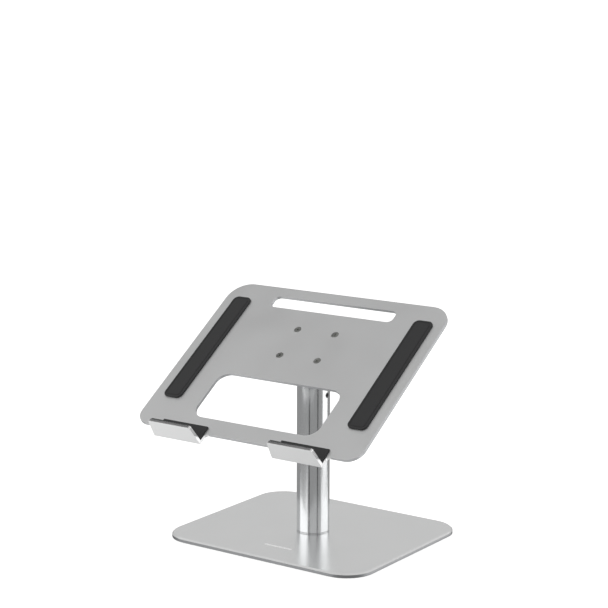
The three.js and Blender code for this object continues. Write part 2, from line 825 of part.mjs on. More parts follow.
/** The hinge bolt, its washers, spring and nut, along X through both cheeks. */
function hingeStack() {
  const hole = HINGE_BOLT_DIAMETER + 2 * SHAFT_GAP;
  const leftWasher = -CHEEK_OUTER - SEAT_GAP - HINGE_WASHER_THICKNESS;
  const headEnd = leftWasher - SEAT_GAP;
  const springStart = CHEEK_OUTER + SEAT_GAP;
  const nutStart = springStart + HINGE_SPRING_HEIGHT + SEAT_GAP;
  const boltEnd = nutStart + HINGE_NUT_HEIGHT + HINGE_THREAD_END;
  const bolt = cut(
    join(
      bar(HINGE_HEAD_DIAMETER, HINGE_HEAD_LENGTH, headEnd - HINGE_HEAD_LENGTH),
      bar(HINGE_BOLT_DIAMETER, boltEnd - headEnd + CUT_MARGIN, headEnd - CUT_MARGIN),
    ),
    hexBar(
      HINGE_SOCKET_WIDTH,
      HINGE_SOCKET_DEPTH + CUT_MARGIN,
      headEnd - HINGE_HEAD_LENGTH - CUT_MARGIN,
    ),
  );
  const nut = cut(
    hexBar(HINGE_NUT_WIDTH, HINGE_NUT_HEIGHT, nutStart),
    bar(hole, HINGE_NUT_HEIGHT + 2 * CUT_MARGIN, nutStart - CUT_MARGIN),
  );
  const frictionStart = LUG_WIDTH / 2 + RUNNING_GAP;
  const frictionRing = (start) =>
    alongX(ring(FRICTION_WASHER_DIAMETER, hole, FRICTION_WASHER_THICKNESS, start));
  return [
    piece("hinge_bolt", alongX(bolt), blackSteel()),
    piece(
      "hinge_washer",
      alongX(ring(HINGE_WASHER_DIAMETER, hole, HINGE_WASHER_THICKNESS, leftWasher)),
      zincSteel(),
    ),
    piece(
      "hinge_disc_spring",
      alongX(
        conedRing(
          HINGE_SPRING_DIAMETER,
          hole,
          HINGE_SPRING_HEIGHT,
          HINGE_SPRING_SHEET,
          springStart,
        ),
      ),
      zincSteel(),
    ),
    piece("hinge_nut", alongX(nut), zincSteel()),
    piece("friction_washer_right", frictionRing(frictionStart), nylon()),
    piece(
      "friction_washer_left",
      frictionRing(-frictionStart - FRICTION_WASHER_THICKNESS),
      nylon(),
    ),
  ];
}

/** Long silicone strip along one side of the tray. */
function stripGeometry(side) {
  const x = side * (TRAY_WIDTH / 2 - STRIP_EDGE_INSET - STRIP_WIDTH / 2);
  const front = -TRAY_REACH_FRONT + STRIP_FRONT_INSET;
  const back = TRAY_REACH_BACK - STRIP_BACK_INSET;
  return prism(
    roundedRectangle(STRIP_WIDTH, back - front, STRIP_CORNER),
    PAD_THICKNESS,
    TRAY_TOP + SEAT_GAP,
  ).translate(x, (front + back) / 2, 0);
}

/** Silicone pad that lines one hook. */
function hookPadGeometry(side) {
  const width = HOOK_WIDTH - 2 * HOOK_PAD_SIDE_INSET;
  const height = LIP_HEIGHT - HOOK_PAD_TOP_INSET;
  const reach = -HOOK_REACH + HOOK_PAD_LENGTH;
  const profile = hookPadShape(reach, TRAY_UNDERSIDE + height + CUT_MARGIN);
  const half = width / 2 + CUT_MARGIN;
  const bent = prismAlongX(profile, -half, half);
  const window = prismAlongY(
    lipOutline(width, height),
    -HOOK_REACH - LIP_HEIGHT,
    reach + CUT_MARGIN,
  );
  return common(bent, window).translate(side * HOOK_CENTRE, 0, 0);
}

/** Everything that tilts. */
function tray() {
  const group = new THREE.Group();
  group.add(
    piece("tray", trayGeometry(), satinAluminium()),
    piece("tray_bracket", bracketGeometry(), blackSteel()),
    ...hingeStack(),
  );
  for (const [corner, x, y] of screwPlaces()) {
    const screw = piece(`tray_screw_${corner}`, screwGeometry(), zincSteel());
    screw.position.set(x, y, 0);
    group.add(screw);
  }
  for (const [name, side] of [["left", -1], ["right", 1]]) {
    group.add(
      piece(`tray_strip_${name}`, stripGeometry(side), blackSilicone()),
      piece(`hook_pad_${name}`, hookPadGeometry(side), blackSilicone()),
    );
  }
  group.rotation.x = THREE.MathUtils.degToRad(REST_TILT);
  group.position.z = HINGE_HEIGHT;
  return group;
}

// ---------------------------------------------------------------- whole stand
// The origin lies under the middle of the whole stand's outline, on the desk.

const stand = new THREE.Group();
stand.add(base(), column(), tray());
const extent = new THREE.Box3().setFromObject(stand, true);
const middle = extent.getCenter(new THREE.Vector3());
stand.position.set(-middle.x, -middle.y, -extent.min.z);

export default stand;
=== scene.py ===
"""Looks of a desk stand for a laptop: a plate on rubber feet, a round post that swivels and a tilting tray.

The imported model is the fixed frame. Each sub-assembly is a class that models its pieces round
that frame, in metres, and dresses them in their finishes. Sizes in the fields are millimetres.
"""

import json
import logging
import math
from collections.abc import Callable, Iterator, Sequence
from contextlib import contextmanager
from dataclasses import dataclass, field
from enum import Enum

import bmesh
import bpy
from mathutils import Matrix, Quaternion, Vector


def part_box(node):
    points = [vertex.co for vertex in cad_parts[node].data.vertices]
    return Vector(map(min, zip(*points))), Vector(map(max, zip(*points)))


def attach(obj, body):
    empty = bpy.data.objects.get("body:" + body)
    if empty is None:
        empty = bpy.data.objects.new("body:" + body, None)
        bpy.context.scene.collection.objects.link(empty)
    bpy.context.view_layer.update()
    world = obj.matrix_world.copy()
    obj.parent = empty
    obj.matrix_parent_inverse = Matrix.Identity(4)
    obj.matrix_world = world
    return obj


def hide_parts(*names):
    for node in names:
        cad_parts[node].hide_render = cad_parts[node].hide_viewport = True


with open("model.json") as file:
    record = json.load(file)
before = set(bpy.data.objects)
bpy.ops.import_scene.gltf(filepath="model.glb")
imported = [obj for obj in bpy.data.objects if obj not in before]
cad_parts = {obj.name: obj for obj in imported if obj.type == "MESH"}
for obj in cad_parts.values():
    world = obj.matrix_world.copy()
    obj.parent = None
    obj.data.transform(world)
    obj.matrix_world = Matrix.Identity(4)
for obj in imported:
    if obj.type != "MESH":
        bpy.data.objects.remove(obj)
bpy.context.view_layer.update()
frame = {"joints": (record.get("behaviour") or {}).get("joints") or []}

LOG = logging.getLogger("laptop_stand")

Piece = bpy.types.Object
Point = tuple[float, float, float]
Ring = tuple[float, float]

HAIR = 1e-6  # metres within which two places are the same
SHARP = math.radians(30)  # edges that turn more than this are softened and shaded as edges
STEEP = math.radians(50)  # the same on threads, whose flanks stay crisp
PAST = 1.0  # millimetres that a cutter reaches past what it cuts
CORNERS = ("front_left", "front_right", "back_left", "back_right")


def mm(value: float) -> float:
    """Millimetres as metres."""
    return value * 0.001


def spot(x: float, y: float, z: float) -> Vector:
    """A place given in millimetres, in metres."""
    return Vector((mm(x), mm(y), mm(z)))


def linear(colour: str) -> tuple[float, float, float, float]:
    """Turns an sRGB hex colour to linear light.

    Args:
        colour: six hex digits after a hash.

    Returns:
        Red, green, blue and a full alpha.
    """
    shares = [int(colour[i : i + 2], 16) / 255 for i in (1, 3, 5)]
    light = [s / 12.92 if s <= 0.04045 else ((s + 0.055) / 1.055) ** 2.4 for s in shares]
    return (*light, 1.0)


# ---------------------------------------------------------------- places in the frame


def joint_place(name: str) -> Vector:
    """Where a joint of the frame lies, in metres."""
    return Vector(next(joint["pos_m"] for joint in frame["joints"] if joint["name"] == name))


def level(name: str) -> tuple[float, float]:
    """Where a CAD node starts and ends on Z, in millimetres."""
    low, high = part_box(name)
    return low.z / mm(1), high.z / mm(1)


def half_width(name: str) -> float:
    """Half of a CAD node's width along X, in millimetres: the radius of a round one."""
    low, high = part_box(name)
    return (high.x - low.x) / 2 / mm(1)


def over(name: str) -> Matrix:
    """From the Z axis to the middle of a CAD node, at the same height."""
    low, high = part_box(name)
    centre = (low + high) / 2
    return Matrix.Translation((centre.x, centre.y, 0))


# ---------------------------------------------------------------- modelling by hand


def deselect() -> None:
    """Leaves nothing selected."""
    bpy.ops.object.select_all(action="DESELECT")


def choose(piece: Piece) -> None:
    """Selects one piece alone and makes it active."""
    deselect()
    piece.select_set(True)
    bpy.context.view_layer.objects.active = piece


def start_piece(name: str, add: Callable, stretch: Sequence[float] = (1, 1, 1), **settings: object) -> Piece:
    """Adds a primitive at its place and size, with that place held in its mesh.

    Args:
        name: the piece's name.
        add: the operator that adds the primitive.
        stretch: how much it is stretched along each axis.
        **settings: the operator's own settings.

    Returns:
        The new piece.
    """
    deselect()
    add(**settings)
    piece = bpy.context.active_object
    piece.name = name
    piece.data.name = name
    piece.scale = stretch
    bpy.ops.object.transform_apply(location=True, rotation=True, scale=True)
    return piece


@contextmanager
def shaping(piece: Piece) -> Iterator[None]:
    """Keeps a piece in edit mode for the length of a with block."""
    choose(piece)
    bpy.ops.object.mode_set(mode="EDIT")
    bpy.ops.mesh.select_all(action="SELECT")
    yield
    bpy.ops.object.mode_set(mode="OBJECT")


def pick(piece: Piece, kind: str, wanted: Callable[[object], bool]) -> int:
    """Selects the corners, edges or faces that are wanted, and nothing else.

    Args:
        piece: a piece in edit mode.
        kind: VERT, EDGE or FACE.
        wanted: says whether one element is wanted.

    Returns:
        How many are selected.
    """
    bpy.ops.mesh.select_mode(type=kind)
    bpy.ops.mesh.select_all(action="DESELECT")
    shape = bmesh.from_edit_mesh(piece.data)
    among = {"VERT": shape.verts, "EDGE": shape.edges, "FACE": shape.faces}[kind]
    found = [element for element in among if wanted(element)]
    for element in found:
        element.select_set(True)
    shape.select_flush_mode()
    bmesh.update_edit_mesh(piece.data)
    return len(found)


def middle(edge: bmesh.types.BMEdge) -> Vector:
    """The middle of an edge."""
    return (edge.verts[0].co + edge.verts[1].co) / 2


def stands(edge: bmesh.types.BMEdge) -> bool:
    """True for an edge that runs along Z."""
    run = edge.verts[1].co - edge.verts[0].co
    return abs(run.z) > 0.99 * run.length > 0


def apply_modifier(piece: Piece, kind: str, **settings: object) -> None:
    """Adds a modifier with its settings and applies it.

    Args:
        piece: the piece it works on.
        kind: the modifier's type.
        **settings: its settings by name.
    """
    choose(piece)
    modifier = piece.modifiers.new(kind.lower(), kind)
    for key, value in settings.items():
        setattr(modifier, key, value)
    bpy.ops.object.modifier_apply(modifier=modifier.name)


def combine(piece: Piece, other: Piece, how: str = "DIFFERENCE") -> None:
    """Cuts another piece out of this one, joins it or keeps what both share, and removes the other."""
    apply_modifier(piece, "BOOLEAN", operation=how, object=other, solver="EXACT")
    bpy.data.objects.remove(other)


def smooth(piece: Piece) -> None:
    """Shades round faces as round and keeps flat ones flat."""
    choose(piece)
    bpy.ops.object.shade_smooth_by_angle(angle=SHARP)
    apply_modifier(piece, "WEIGHTED_NORMAL", keep_sharp=True, weight=60)


def soften(piece: Piece, width: float, steps: int = 2, angle: float = SHARP) -> None:
    """Rounds every sharp edge of a piece and shades it.

    Args:
        piece: the piece to round.
        width: how far the rounding reaches, in millimetres.
        steps: faces across the rounding.
        angle: the least turn of an edge that is rounded.
    """
    apply_modifier(
        piece,
        "BEVEL",
        width=mm(width),
        segments=steps,
        limit_method="ANGLE",
        angle_limit=angle,
        miter_outer="MITER_ARC",
        use_clamp_overlap=True,
    )
    smooth(piece)

def turned(name: str, profile: Sequence[Ring], sides: int = 96, hollow: bool = False) -> Piece:
    """Turns a round piece about Z, by carrying a ring up its profile.

    Args:
        name: the piece's name.
        profile: radius and height of each ring, in millimetres.
        sides: corners of a ring.
        hollow: the last ring meets the first, as round a hole, in place of end faces.

    Returns:
        The closed round piece, its axis on the Z axis.
    """
    first = profile[0]
    piece = start_piece(
        name,
        bpy.ops.mesh.primitive_circle_add,
        vertices=sides,
        radius=mm(first[0]),
        location=(0, 0, mm(first[1])),
        fill_type="NOTHING" if hollow else "NGON",
    )
    extrude = bpy.ops.mesh.extrude_edges_move if hollow else bpy.ops.mesh.extrude_region_move
    rings = [*profile, first] if hollow else profile
    with shaping(piece):
        for (near, low), (far, high) in zip(rings, rings[1:]):
            extrude(TRANSFORM_OT_translate={"value": (0, 0, mm(high - low))})
            grow = far / near
            bpy.ops.transform.resize(value=(grow, grow, 1), center_override=(0, 0, mm(high)))
        bpy.ops.mesh.select_all(action="SELECT")
        bpy.ops.mesh.remove_doubles(threshold=HAIR)
        bpy.ops.mesh.normals_make_consistent(inside=False)
    return piece


def block(name: str, low: Vector, high: Vector) -> Piece:
    """A squared block between two corners given in metres."""
    return start_piece(
        name,
        bpy.ops.mesh.primitive_cube_add,
        high - low,
        size=1,
        location=(low + high) / 2,
    )


def rounded_block(name: str, low: Vector, high: Vector, corner: float, steps: int = 12) -> Piece:
    """A block between two corners, its upright edges rounded by a radius in millimetres."""
    piece = block(name, low, high)
    with shaping(piece):
        pick(piece, "EDGE", stands)
        bpy.ops.mesh.bevel(offset=mm(corner), segments=steps, affect="EDGES")
    return piece


def washer(name: str, hole: float, outer: float, low: float, high: float, sides: int = 64) -> Piece:
    """A flat ring on the Z axis, by its two radii and its two heights in millimetres."""
    return turned(name, [(hole, low), (outer, low), (outer, high), (hole, high)], sides, True)


def cone_spring(name: str, hole: float, cone: Sequence[float], sheet: float, sides: int) -> Piece:
    """A disc spring on the Z axis, its hole raised.

    Args:
        name: the spring's name.
        hole: radius of its hole, in millimetres.
        cone: its outer radius, where it starts and where it ends.
        sheet: how thick it is.
        sides: corners of a ring.

    Returns:
        The closed spring.
    """
    outer, low, high = cone
    profile = [(outer, low), (outer, low + sheet), (hole, high), (hole, high - sheet)]
    return turned(name, profile, sides, True)


def drill(radius: float, start: float, end: float, sides: int = 48) -> Piece:
    """A round cutter on the Z axis, in millimetres."""
    return turned("drill", [(radius, start), (radius, end)], sides)


def hexagon(name: str, across: float, low: float, high: float) -> Piece:
    """A six-sided bar on the Z axis, all in millimetres, measured across its flats."""
    return start_piece(
        name,
        bpy.ops.mesh.primitive_cylinder_add,
        vertices=6,
        radius=mm(across / 2 / math.cos(math.pi / 6)),
        depth=mm(high - low),
        location=(0, 0, mm((low + high) / 2)),
    )

def moved(piece: Piece, place: Matrix) -> Piece:
    """Moves a piece by a matrix and leaves its place in its mesh.

    Args:
        piece: the piece to move.
        place: where it goes.

    Returns:
        The same piece.
    """
    choose(piece)
    piece.matrix_world = place @ piece.matrix_world
    bpy.ops.object.transform_apply(location=True, rotation=True, scale=True)
    return piece


def copied(piece: Piece, name: str, place: Matrix) -> Piece:
    """A copy of a piece with its own mesh, moved by a matrix."""
    other = piece.copy()
    other.data = piece.data.copy()
    other.name = other.data.name = name
    bpy.context.scene.collection.objects.link(other)
    return moved(other, place)


def ridges(radius: float, start: float, end: float, pitch: float) -> list[Ring]:
    """Rings up a screw thread, drawn as plain ridges.

    Args:
        radius: of the thread's crests.
        start: where it starts.
        end: where it ends.
        pitch: from one crest to the next.

    Returns:
        Radius and height of each ring, in millimetres.
    """
    depth = 0.55 * pitch
    count = max(1, round((end - start) / pitch))
    step = (end - start) / count
    rings = [(radius - depth, start)]
    for turn in range(count):
        at = start + turn * step
        rings += [(radius, at + 0.4 * step), (radius, at + 0.6 * step), (radius - depth, at + step)]
    return rings


LAY_ALONG_X = Matrix.Rotation(math.pi / 2, 4, "Y")  # from standing on Z to lying along +X


# ---------------------------------------------------------------- finishes


def node(
    tree: bpy.types.NodeTree, kind: str, settings: dict | None = None, inputs: dict | None = None
) -> bpy.types.Node:
    """Adds a node with its settings and links.

    Args:
        tree: the node tree it goes in.
        kind: the node's type.
        settings: its properties by name.
        inputs: by socket name or number, either a socket to link or a value.

    Returns:
        The new node.
    """
    made = tree.nodes.new(kind)
    for key, value in (settings or {}).items():
        setattr(made, key, value)
    for key, value in (inputs or {}).items():
        if isinstance(value, bpy.types.NodeSocket):
            tree.links.new(value, made.inputs[key])
        else:
            made.inputs[key].default_value = value
    return made


FINE_SHARE = 0.35  # of a finish's drift in tone that the fine pattern makes


class Grain(Enum):
    """How far a finish's pattern is drawn out along each axis: the smaller, the longer."""

    EVEN = (1.0, 1.0, 1.0)
    ALONG_X = (0.02, 1.0, 1.0)
    RINGS = (0.03, 0.03, 1.0)


@dataclass(frozen=True)
class Finish:
    """One material and how its surface was worked.

    Attributes:
        name: the material, and the process that gave it its surface.
        colour: its usual sRGB colour.
        shade: the colour it drifts to in broad soft patches.
        metallic: one for bare metal, nought for the rest.
        roughness: its usual roughness.
        drift: how far the roughness strays each way.
        grain: size of the fine pattern, in millimetres.
        lay: how that pattern lies.
        relief: depth of the fine pattern, in millimetres.
        patch: size of the broad patches, in millimetres.
        directional: how much the surface smears its highlights.
        smear: turn of that smear, as a share of a full turn.
        coat: weight of a clear layer on top.
    """

    name: str
    colour: str
    shade: str
    metallic: float
    roughness: float
    drift: float
    grain: float
    lay: Grain = Grain.EVEN
    relief: float = 0.01
    patch: float = 45.0
    directional: float = 0.0
    smear: float = 0.0
    coat: float = 0.0

    def material(self) -> bpy.types.Material:
        """Makes the material once, and gives the same one after that."""
        known = bpy.data.materials.get(self.name)
        if known:
            return known
        made = bpy.data.materials.new(self.name)
        made.use_nodes = True
        tree = made.node_tree
        shader = tree.nodes["Principled BSDF"]
        place = node(tree, "ShaderNodeTexCoord").outputs["Object"]
        laid = node(
            tree, "ShaderNodeMapping", inputs={"Vector": place, "Scale": self.lay.value}
        ).outputs["Vector"]
        fine = node(
            tree,
            "ShaderNodeTexNoise",
            inputs={"Vector": laid, "Scale": 1 / mm(self.grain), "Detail": 4.0, "Roughness": 0.6},
        ).outputs["Fac"]
        broad = node(
            tree,
            "ShaderNodeTexNoise",
            inputs={"Vector": place, "Scale": 1 / mm(self.patch), "Detail": 2.0},
        ).outputs["Fac"]
        drifting = node(tree, "ShaderNodeMath", {"operation": "MULTIPLY"}, {0: broad, 1: 1 - FINE_SHARE})
        mixed = node(
            tree,
            "ShaderNodeMath",
            {"operation": "MULTIPLY_ADD"},
            {0: fine, 1: FINE_SHARE, 2: drifting.outputs[0]},
        ).outputs[0]
        tint = node(
            tree,
            "ShaderNodeMix",
            {"data_type": "RGBA"},
            {0: mixed, 6: linear(self.colour), 7: linear(self.shade)},
        ).outputs[2]
        dullness = node(
            tree,
            "ShaderNodeMapRange",
            inputs={
                "Value": mixed,
                "From Min": 0.3,
                "From Max": 0.7,
                "To Min": self.roughness - self.drift,
                "To Max": self.roughness + self.drift,
            },
        ).outputs[0]
        bumps = node(
            tree,
            "ShaderNodeBump",
            inputs={"Strength": 0.6, "Distance": mm(self.relief), "Height": fine},
        ).outputs[0]
        tree.links.new(tint, shader.inputs["Base Color"])
        tree.links.new(dullness, shader.inputs["Roughness"])
        tree.links.new(bumps, shader.inputs["Normal"])
        shader.inputs["Metallic"].default_value = self.metallic
        shader.inputs["Coat Weight"].default_value = self.coat
        if self.directional:
            shader.inputs["Anisotropic"].default_value = self.directional
            shader.inputs["Anisotropic Rotation"].default_value = self.smear
            round_z = node(tree, "ShaderNodeTangent", {"direction_type": "RADIAL", "axis": "Z"})
            tree.links.new(round_z.outputs[0], shader.inputs["Tangent"])
        return made


# Aluminium sheet, bead-blasted and clear anodised: an even satin silver that still mirrors what
# stands on it softly. The bead marks are about 0.05 mm and are drawn at 0.9 mm so that they show.
SATIN_SHEET = Finish(
    "aluminium_bead_blasted_anodised", "#E0E0E0", "#D9DADA", 1.0, 0.25, 0.02, 0.9, relief=0.0006
)
# The same sheet on the tray, blasted a little coarser: a softer, whiter silver.
SATIN_TRAY = Finish(
    "aluminium_sheet_anodised_satin", "#E4E4E4", "#DCDDDD", 1.0, 0.42, 0.03, 0.9, relief=0.0008
)
# Blanked edge of the plate, ground: duller than the face and marked along the cut. Its darker grey is painted
# shade, standing in for the shadowed floor that the low rim would mirror so close to the desk.
GROUND_EDGE_PAINTED_SHADE = Finish(
    "aluminium_ground_edge_painted_shade", "#98999A", "#8D8E90", 1.0, 0.42, 0.05, 0.5, Grain.ALONG_X, 0.002
)
# Sheared rim of the sheet, tumbled and anodised: a satin grey line a little darker than the face.
SHEARED_EDGE = Finish(
    "aluminium_sheared_edge_tumbled", "#BEBFC0", "#B1B2B4", 1.0, 0.38, 0.05, 0.5, Grain.ALONG_X, 0.002
)
# Hook edges polished after bending: bright lines round the lips.
POLISHED_EDGE = Finish(
    "aluminium_polished_edge", "#DEDEDE", "#D6D6D7", 1.0, 0.18, 0.03, 0.6, relief=0.0008
)
# Aluminium tube turned and polished on the lathe: tight rings that draw reflections up and down.
TURNED_TUBE = Finish(
    "aluminium_turned_tube",
    "#E3E4E5",
    "#DADCDD",
    1.0,
    0.17,
    0.02,
    0.35,
    Grain.RINGS,
    0.0006,
    60.0,
    0.5,
    0.25,
)
# Machined aluminium head, blasted like the sheet but a little duller in its corners.
MACHINED_HEAD = Finish(
    "aluminium_machined_blasted", "#D2D3D4", "#C4C5C7", 1.0, 0.33, 0.04, 0.8, relief=0.002
)
# Etched field: the anodised skin eaten away, so it is matt and paler than the sheet round it.
ETCHED = Finish(
    "aluminium_laser_etched", "#FAFAFA", "#F2F2F2", 0.2, 0.62, 0.05, 0.4, relief=0.004
)
# Zinc plated steel: cool grey with a faint yellow drift from the passivation.
ZINC_STEEL = Finish(
    "steel_zinc_plated", "#B9BABA", "#A6A79F", 1.0, 0.30, 0.06, 1.2, relief=0.003, patch=12.0
)
# Steel, black powder coat: fine orange peel about 0.8 mm across with a low sheen.
BLACK_STEEL = Finish(
    "steel_black_powder_coat", "#1C1D1E", "#242526", 0.0, 0.46, 0.05, 0.8, relief=0.02, coat=0.1
)
# Nylon, machined ring: milky, slightly waxy.
NYLON = Finish("nylon_machined_ring", "#E4E1D6", "#D8D4C6", 0.0, 0.48, 0.05, 0.7, relief=0.005)
# Silicone, moulded in a blasted tool: soft black with a dry, dusty bloom.
SILICONE = Finish("silicone_moulded_matt", "#1A1A1B", "#232324", 0.0, 0.62, 0.06, 0.6, relief=0.01)
# Rubber foot, moulded: dark grey with a grippy fine grain.
FOOT_RUBBER = Finish("rubber_moulded_foot", "#2E2F31", "#38393B", 0.0, 0.72, 0.05, 0.5, relief=0.02)


# ---------------------------------------------------------------- sub-assemblies


@dataclass
class SubAssembly:
    """Pieces that move together on one body of the frame."""

    body: str
    made: list[Piece] = field(default_factory=list, init=False)

    @property
    def axis(self) -> Matrix:
        """From the Z axis to the swivel's axis."""
        at = joint_place("column_swivel")
        return Matrix.Translation((at.x, at.y, 0))

    def fit(self, piece: Piece, node_name: str, slot: str, *finishes: Finish) -> Piece:
        """Dresses a finished piece and puts it in place of its CAD node.

        Args:
            piece: the finished piece, its place in its mesh.
            node_name: the CAD node that it stands for.
            slot: the record's material slot of its main finish; not used.
            *finishes: its finishes, the main one first.

        Returns:
            The same piece.
        """
        for finish in finishes:
            piece.data.materials.append(finish.material())
        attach(piece, self.body)
        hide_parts(node_name)
        self.made.append(piece)
        LOG.info("%s on %s: %d faces, %s", piece.name, self.body, len(piece.data.polygons), finishes[0].name)
        return piece


def recolour(piece: Piece, slot: int, wanted: Callable[[bpy.types.MeshPolygon], bool]) -> None:
    """Gives the wanted faces of a piece another of its finishes."""
    for face in piece.data.polygons:
        if wanted(face):
            face.material_index = slot


@dataclass
class DeskBase(SubAssembly):
    """The plate on its feet, and the stack that the post swivels on."""

    corner: float = 31.0
    top_bevel: float = 1.5
    edge_round: float = 0.15
    seat: float = 0.3
    recess: float = 1.0
    foot_tread: tuple[Ring, ...] = ((2.4, 1), (2.9, 0), (5.6, 0), (6.0, 1), (7.0, 1), (7.4, 0))
    foot_groove: float = 0.5
    foot_round: float = 0.45
    foot_slope: float = 0.12
    foot_top_round: float = 0.15
    pivot_head: float = 7.5
    pivot_rim: float = 0.6
    pivot_ease: float = 0.2
    pivot_shank: float = 4.0
    pivot_thread: float = 20.0
    pivot_pitch: float = 1.25
    pivot_tip: Ring = (1.0, 0.6)
    pivot_socket: float = 5.0
    pivot_socket_depth: float = 2.6
    shaft_gap: float = 0.2
    ring_round: float = 0.1
    nut_across: float = 13.0
    spring_sheet: float = 0.9
    mark_length: float = 33.0
    mark_width: float = 3.2
    mark_place: tuple[float, float] = (4.4, -46.1)
    mark_depth: float = 0.05
    mark_roundness: float = 0.98

    def build(self) -> None:
        """Models every piece of the base."""
        self.shape_plate()
        self.shape_feet()
        self.shape_swivel()

    def shape_plate(self) -> None:
        """The plate: rounded corners, a bevelled rim, four recesses and a countersunk hole."""
        low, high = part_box("base_plate")
        bottom, top = level("base_plate")
        plate = rounded_block("desk_plate", low, high, self.corner, 40)
        with shaping(plate):
            pick(plate, "EDGE", lambda e: middle(e).z > high.z - HAIR)
            bpy.ops.mesh.bevel(offset=mm(self.top_bevel), segments=1, affect="EDGES")
        for corner in CORNERS:
            radius = half_width(f"foot_{corner}") + self.seat
            cutter = turned("recess", [(radius, bottom - PAST), (radius, bottom + self.recess)])
            combine(plate, moved(cutter, over(f"foot_{corner}")))
        head = self.pivot_head + self.seat
        shank = self.pivot_shank + self.shaft_gap
        rim = bottom + self.pivot_rim
        sink = [(head, bottom - PAST), (head, rim), (shank, rim + head - shank), (shank, top + PAST)]
        combine(plate, moved(turned("pivot_hole", sink), self.axis))
        combine(plate, self.mark(top))
        soften(plate, self.edge_round)
        floor_of_mark = high.z - mm(self.mark_depth)
        # Upright faces take the ground edge finish, whose darker grey is painted shade for the dim floor they
        # would mirror; the etched mark's floor takes the third finish.
        recolour(plate, 1, lambda f: abs(f.normal.z) < 0.3)
        recolour(plate, 2, lambda f: f.normal.z > 0.9 and abs(f.center.z - floor_of_mark) < mm(0.01))
        self.fit(plate, "base_plate", "satin_aluminium", SATIN_SHEET, GROUND_EDGE_PAINTED_SHADE, ETCHED)

    def mark(self, top: float) -> Piece:
        """The cutter of a plain round-ended bar, etched in the plate's top at this height."""
        x, y = self.mark_place
        half, wide = self.mark_length / 2, self.mark_width / 2
        low = spot(x - half, y - wide, top - self.mark_depth)
        high = spot(x + half, y + wide, top + PAST)
        return rounded_block("mark", low, high, wide * self.mark_roundness, 8)

    def shape_feet(self) -> None:
        """One round foot with two grip grooves beneath, and three copies of it."""
        radius = half_width("foot_front_left")
        height = level("foot_front_left")[1]
        ease = self.foot_round
        foot = turned(
            "desk_foot_front_left",
            [
                *((ring, share * self.foot_groove) for ring, share in self.foot_tread),
                (radius - ease, 0.0),
                (radius - self.foot_slope, self.foot_slope),
                (radius, ease),
                (radius, height - self.foot_top_round),
                (radius - self.foot_top_round, height),
            ],
        )
        smooth(foot)
        feet = {c: copied(foot, f"desk_foot_{c}", over(f"foot_{c}")) for c in CORNERS[1:]}
        feet[CORNERS[0]] = moved(foot, over("foot_front_left"))
        for corner in CORNERS:
            self.fit(feet[corner], f"foot_{corner}", "foot_rubber", FOOT_RUBBER)

    def shape_swivel(self) -> None:
        """The pivot bolt, its rings, cone spring and lock nut."""
        bottom, top = level("pivot_bolt")
        rim = bottom + self.pivot_rim
        head, shank = self.pivot_head, self.pivot_shank
        tip_inward, tip_down = self.pivot_tip
        bolt = turned(
            "swivel_bolt",
            [
                (head - self.pivot_ease, bottom),
                (head, bottom + self.pivot_ease),
                (head, rim),
                (shank, rim + head - shank),
                *ridges(shank, self.pivot_thread, top - tip_down, self.pivot_pitch),
                (shank - tip_inward, top),
            ],
        )
        socket_end = bottom + self.pivot_socket_depth
        combine(bolt, hexagon("socket", self.pivot_socket, bottom - PAST, socket_end))
        soften(bolt, 0.12, 2, STEEP)
        self.fit(moved(bolt, self.axis), "pivot_bolt", "zinc_steel", ZINC_STEEL)
        hole = shank + self.shaft_gap
        for name, cad, finish, slot in (
            ("swivel_seat_ring", "swivel_washer", TURNED_TUBE, "brushed_aluminium"),
            ("swivel_upper_ring", "swivel_top_washer", NYLON, "nylon"),
        ):
            ring = washer(name, hole, half_width(cad), *level(cad), 128)
            soften(ring, self.ring_round)
            self.fit(moved(ring, self.axis), cad, slot, finish)
        cad = "swivel_disc_spring"
        cone = (half_width(cad), *level(cad))
        spring = cone_spring("swivel_cone_spring", hole, cone, self.spring_sheet, 96)
        soften(spring, self.ring_round)
        self.fit(moved(spring, self.axis), cad, "zinc_steel", ZINC_STEEL)
        nut = LockNut(self.nut_across, *level("pivot_nut"), hole).shape("swivel_lock_nut")
        self.fit(moved(nut, self.axis), "pivot_nut", "zinc_steel", ZINC_STEEL, NYLON)

@dataclass(frozen=True)
class LockNut:
    """A six-sided lock nut with a nylon ring in its collar, on the Z axis, in millimetres."""

    across: float
    low: float
    high: float
    hole: float
    collar_share: float = 0.3
    chamfer_share: float = 0.35
    chamfer_least: float = 0.2
    face_inset: float = 0.1
    collar_inset: float = 0.9
    collar_slope: Ring = (0.4, 0.5)
    collar_sunk: float = 0.3
    nylon_wide: float = 1.1
    nylon_deep: float = 0.6

    def shape(self, name: str) -> Piece:
        """Cuts the nut from a bar, adds its collar and drills it.

        Args:
            name: the nut's name.

        Returns:
            The nut, its nylon faces in the second slot.
        """
        flat = self.across / 2
        corner = flat / math.cos(math.pi / 6)
        body = self.high - self.collar_share * (self.high - self.low)
        chamfer = self.chamfer_share * (corner - flat) + self.chamfer_least
        nut = hexagon(name, self.across, self.low, body)
        face = flat - self.face_inset
        turning = [(face, self.low), (corner, self.low + chamfer), (corner, body - chamfer), (face, body)]
        combine(nut, turned("turning", turning), "INTERSECT")
        outer = flat - self.collar_inset
        inward, down = self.collar_slope
        collar = [(outer, body - self.collar_sunk), (outer, self.high - down), (outer - inward, self.high)]
        combine(nut, turned("collar", collar, 64), "UNION")
        combine(nut, drill(self.hole, self.low - PAST, self.high + PAST, 64))
        smooth(nut)
        deep, inside = mm(self.high - self.nylon_deep), mm(self.hole + self.nylon_wide)
        recolour(nut, 1, lambda f: f.center.z > deep and f.center.xy.length < inside)
        return nut


